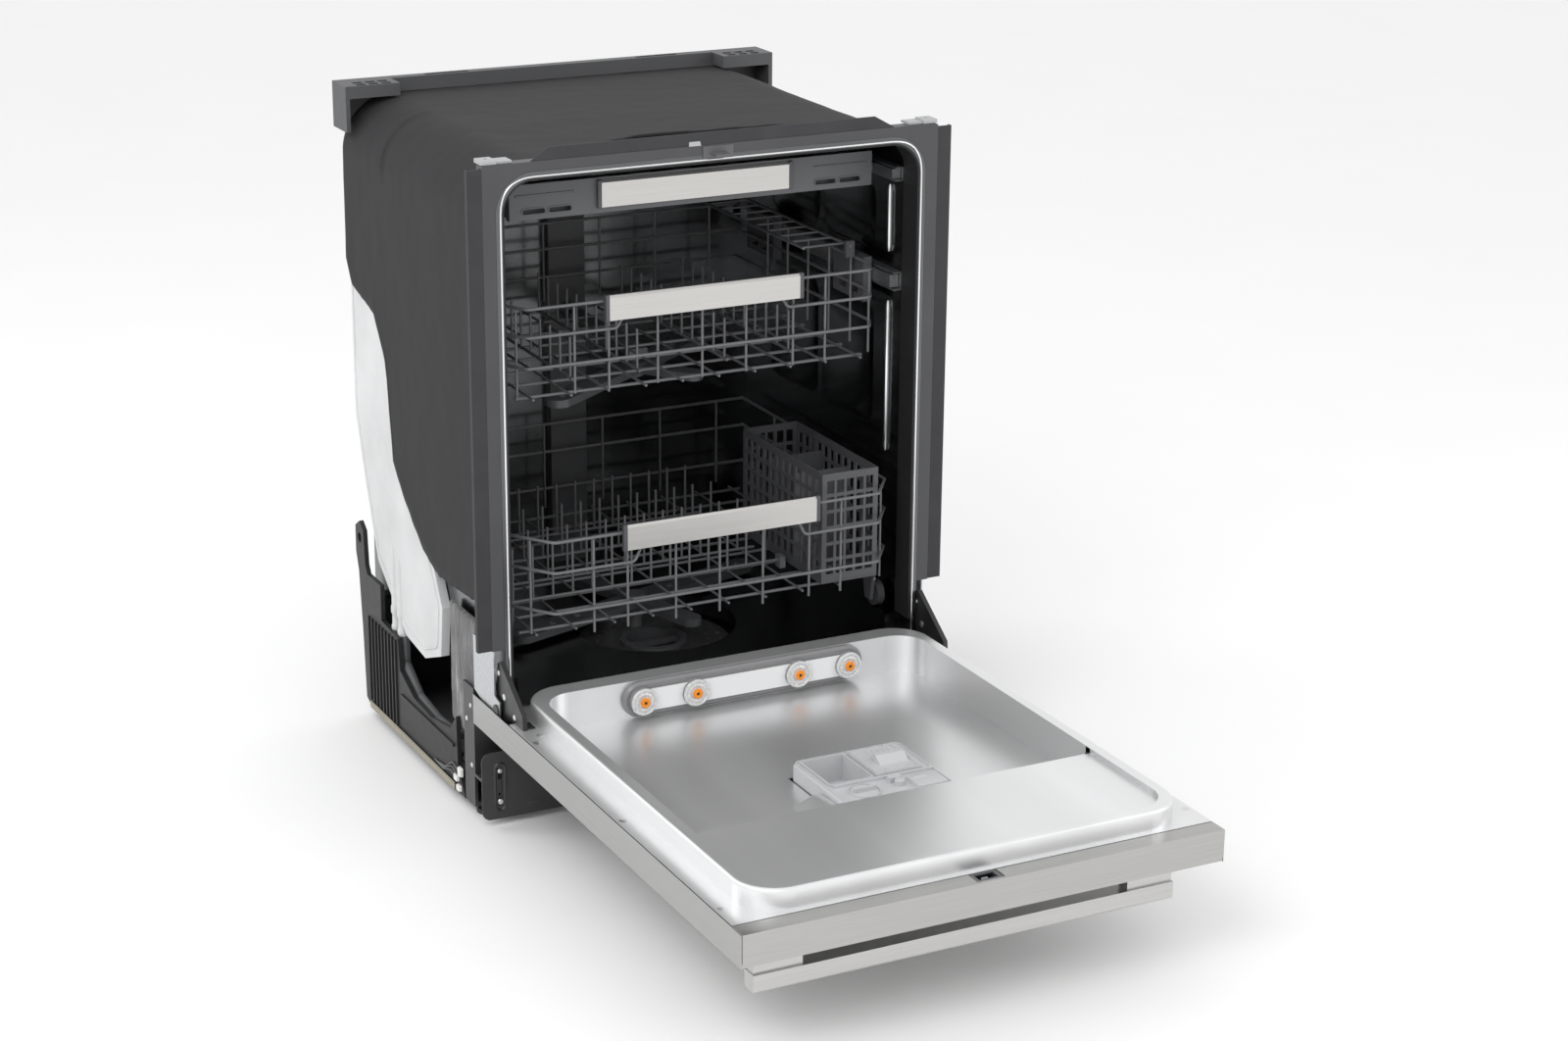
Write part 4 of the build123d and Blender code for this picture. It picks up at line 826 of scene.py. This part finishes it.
def make_dispenser_details():
    """Rims, cover ribs, clips and the knob of the dispenser, and the pressed ramp beside it."""
    mesh = bmesh.new()
    body_rim = rounded(-43, 97, -429, -291, 8), rounded(-41.2, 95.2, -427.2, -292.8, 6.6)
    ring_band(mesh, *body_rim, 169.5, 171.4, "Z")
    cup_rim = rounded(-38.5, 20.5, -374.5, -297.5, 4), rounded(-36.2, 18.2, -372.2, -299.8, 2.4)
    ring_band(mesh, *cup_rim, 169.8, 172.6, "Z")
    lid_rim = rounded(25, 83, -373, -299, 7), rounded(27, 81, -371, -301, 5.5)
    ring_band(mesh, *lid_rim, LID_TOP, LID_TOP + 1.1, "Z")
    for i in range(5):
        x = 44 + 7 * i
        loft(mesh, [(rounded(x, x + 2.4, -332, -306, 1.1, 3), LID_TOP),
                    (rounded(x + 0.3, x + 2.1, -331, -307, 0.8, 3), LID_TOP + 1)], "Z")
    for x, y in ((33, -367), (70, -367), (70, -306)):
        loft(mesh, [(rounded(x, x + 8, y, y + 4, 1.2, 3), LID_TOP),
                    (rounded(x + 0.5, x + 7.5, y + 0.5, y + 3.5, 1, 3), LID_TOP + 2)], "Z")
    turned(mesh, [(19.8, 169.8), (19.6, 171.6), (17.9, 171.6), (17.8, 169.8)], (-8, -402, 0), "Z", 36)
    turned(mesh, [(6.4, 170), (6.2, 176), (5.2, 177.2), (1.5, 177.4)], (38, -402, 0), "Z", 20)
    loft(mesh, [(rounded(52, 92, -424, -388, 5), 169.8), (rounded(52.6, 91.4, -423.4, -388.6, 4.6), 173.4),
                (rounded(54, 90, -422, -390, 4), 174)], "Z")
    loft(mesh, [(rounded(56, 74, -402, -394, 1.5), 174), (rounded(57, 73, -401, -395, 1.2), 174.6)], "Z")
    piece("dispenser_mouldings", mesh, "dispenser", "door", 35)
    mesh = bmesh.new()
    low = rounded(-82, -46, -431, -360, 10)
    high = rounded(-60, -46, -423, -368, 5)
    loft(mesh, [(low, 149.05), (high, 162), (rounded(-58, -46, -421, -370, 4.5), 162.5)], "Z")
    piece("pan_ramp", mesh, "liner_steel", "door", 50)


def make_base_details():
    """Perforated strip along each base rail, and the white connectors and leads by the left leg."""
    mesh = bmesh.new()
    for side in (-1, 1):
        for row in range(2):
            for i in range(62):
                y, z = 142 + i * 5, 15.4 + row * 4.7
                outer = [(y, z), (y + 5, z), (y + 5, z + 4.7), (y, z + 4.7)]
                inner = [(y + 1.1, z + 1.1), (y + 3.9, z + 1.1), (y + 3.9, z + 3.6), (y + 1.1, z + 3.6)]
                ring_band(mesh, outer, inner, side * 300.55, side * 301.2, "X")
    piece("base_rail_strip", mesh, "tan", "cabinet", 30)
    plugs, leads = bmesh.new(), bmesh.new()
    for y, z, tall in ((118, 40, 12), (132, 29, 9), (124, 18, 8)):
        loft(plugs, [(rounded(y, y + 12, z, z + tall, 1.5, 3), -298.1),
                     (rounded(y + 0.6, y + 11.4, z + 0.6, z + tall - 0.6, 1.2, 3), -301.5)], "X")
    for k in range(3):
        path = bent_path([(-299.6, 130 + 3 * k, 44 - 8 * k), (-300, 150 + 2 * k, 50 - 6 * k),
                          (-300, 176 + 4 * k, 34 - 3 * k), (-299.6, 204 + 6 * k, 30)], 10, 2)
        pipe(leads, path, 0.9, 8)
    piece("connector_shells", plugs, "white", "cabinet", 35)
    piece("connector_leads", leads, "hose", "cabinet", 60)


def make_water_guide_details():
    """Pipe bulges, collars and weld rib of the white water guide on the left side."""
    mesh = bmesh.new()
    for y, top in ((352, 262), (374, 275)):
        profile = [(5.9, 150.2), (7.4, 153), (7.4, 158), (6.2, 160), (6.2, 174), (7.6, 176), (7.6, 184),
                   (6.4, 187), (6.2, top - 18), (4.6, top - 6), (1.4, top)]
        turned(mesh, profile, (-287.2, y, 0), "Z", 20)
    guide = [(492, 610), (493, 424), (464, 336), (426, 242), (330, 170), (266, 162), (216, 180), (208, 238),
             (250, 310), (348, 403), (358, 524), (408, 588), (470, 610)]
    path = bent_path([(-290.6, y, z) for y, z in guide], 20, 3)
    pipe(mesh, path, 1.3, 8)
    piece("water_guide_ribs", mesh, "milky", "cabinet", 60)


def make_tub_details():
    """Bead round the mouth of the tub and beads on its walls, in a light colour as a painted highlight,
    panels on its walls, and a block on the frame.
    """
    mesh = bmesh.new()
    half, depth, low, top = 279.2, 0.15, 179, 828.2
    mouth = [(-half, depth, low), (-half, depth, top), (half, depth, top), (half, depth, low)]
    pipe(mesh, bent_path(mouth, 42, 4), 1.25, 10)
    for side in (-1, 1):
        for z0, z1 in ((415, 602), (678, 752)):
            turned(mesh, [(1.6, z0 - 6), (3.4, z0), (3.4, z1), (1.6, z1 + 6)], (side * 275.2, 71, 0), "Z", 20)
    # The beads take the light bead steel, a painted highlight.
    piece("tub_beads", mesh, "bead_highlight", "cabinet", 50)
    mesh = bmesh.new()
    for z0, z1 in ((430, 592), (664, 752)):
        for y0, y1 in ((110, 250), (262, 402)):
            for side in (-1, 1):
                outer, inner = rounded(y0, y1, z0, z1, 22), rounded(y0 + 5, y1 - 5, z0 + 5, z1 - 5, 18)
                level = side * 276.95
                loft(mesh, [(outer, level), (inner, level - side * 1.6)], "X", ends=(False, True))
    piece("tub_embossing", mesh, "tub_steel", "cabinet", 25)
    mesh = bmesh.new()
    loft(mesh, [(rounded(-38, -22, -0.8, 8, 1.2, 3), 846.1), (rounded(-37, -23, 0, 7.4, 1.2, 3), 851)], "Z")
    piece("catch_block", mesh, "clip", "cabinet", 35)


SPRAYER_AXIS = 247


def make_sprayer_details():
    """Nozzles standing on the sprayer arms."""
    sprayers = {"lower": ((18, 198), (62, 104, 146, 186), 194.0, "lower_sprayer"),
                "upper": ((35, 215), (58, 98, 138, 176), 515.0, "upper_sprayer"),
                "top": ((10, 190), (28, 48), 803.0, "top_sprayer")}
    for name, (angles, reaches, top, body) in sprayers.items():
        mesh = bmesh.new()
        nozzle = [(5.2, top - 0.2), (4.8, top + 0.9), (2.0, top + 1.1), (1.6, top + 0.3)]
        for angle in angles:
            for reach in reaches:
                x = reach * math.cos(math.radians(angle))
                y = SPRAYER_AXIS + reach * math.sin(math.radians(angle))
                turned(mesh, nozzle, (x, y, 0), "Z", 16)
        piece(f"{name}_sprayer_nozzles", mesh, "tray", body, 35)


def make_tray_details():
    """Raised slot rims and a long rib at each side of the third rack's front."""
    mesh = bmesh.new()
    for side in (-1, 1):
        for x in (178, 212):
            outer = slotted(side * x, 772, 33, 9)
            inner = slotted(side * x, 772, 30, 6)
            ring_band(mesh, outer, inner, 61.95, 61.2, "Y")
        low, high = sorted((side * 160, side * 236))
        loft(mesh, [(rounded(low, high, 790, 793, 1.2, 3), 61.95),
                    (rounded(low + 1, high - 1, 790.5, 792.5, 0.8, 3), 61.0)], "Y")
    piece("tray_front_ribs", mesh, "tray", "cutlery_tray", 35)


make_blanket()
make_wool_pad(-1, "wool_pad_left")
make_wool_pad(1, "wool_pad_right")
make_hose()
make_plate_caps()
make_fasteners()
make_kick_details()
make_jets()
make_dispenser_details()
make_base_details()
make_water_guide_details()
make_tub_details()
make_sprayer_details()
make_tray_details()

for node, width in {"control_panel": 0.6, "front_frame": 0.5, "rear_bracket": 1.0, "base_pan": 0.8,
                    "dispenser_body": 0.5, "hinge_arms": 0.6, "kick_plate": 0.4, "third_front": 0.6,
                    "height_adjusters": 0.8, "detergent_lid": 0.6, "corner_clips": 0.5}.items():
    soften(NODES[node], width)
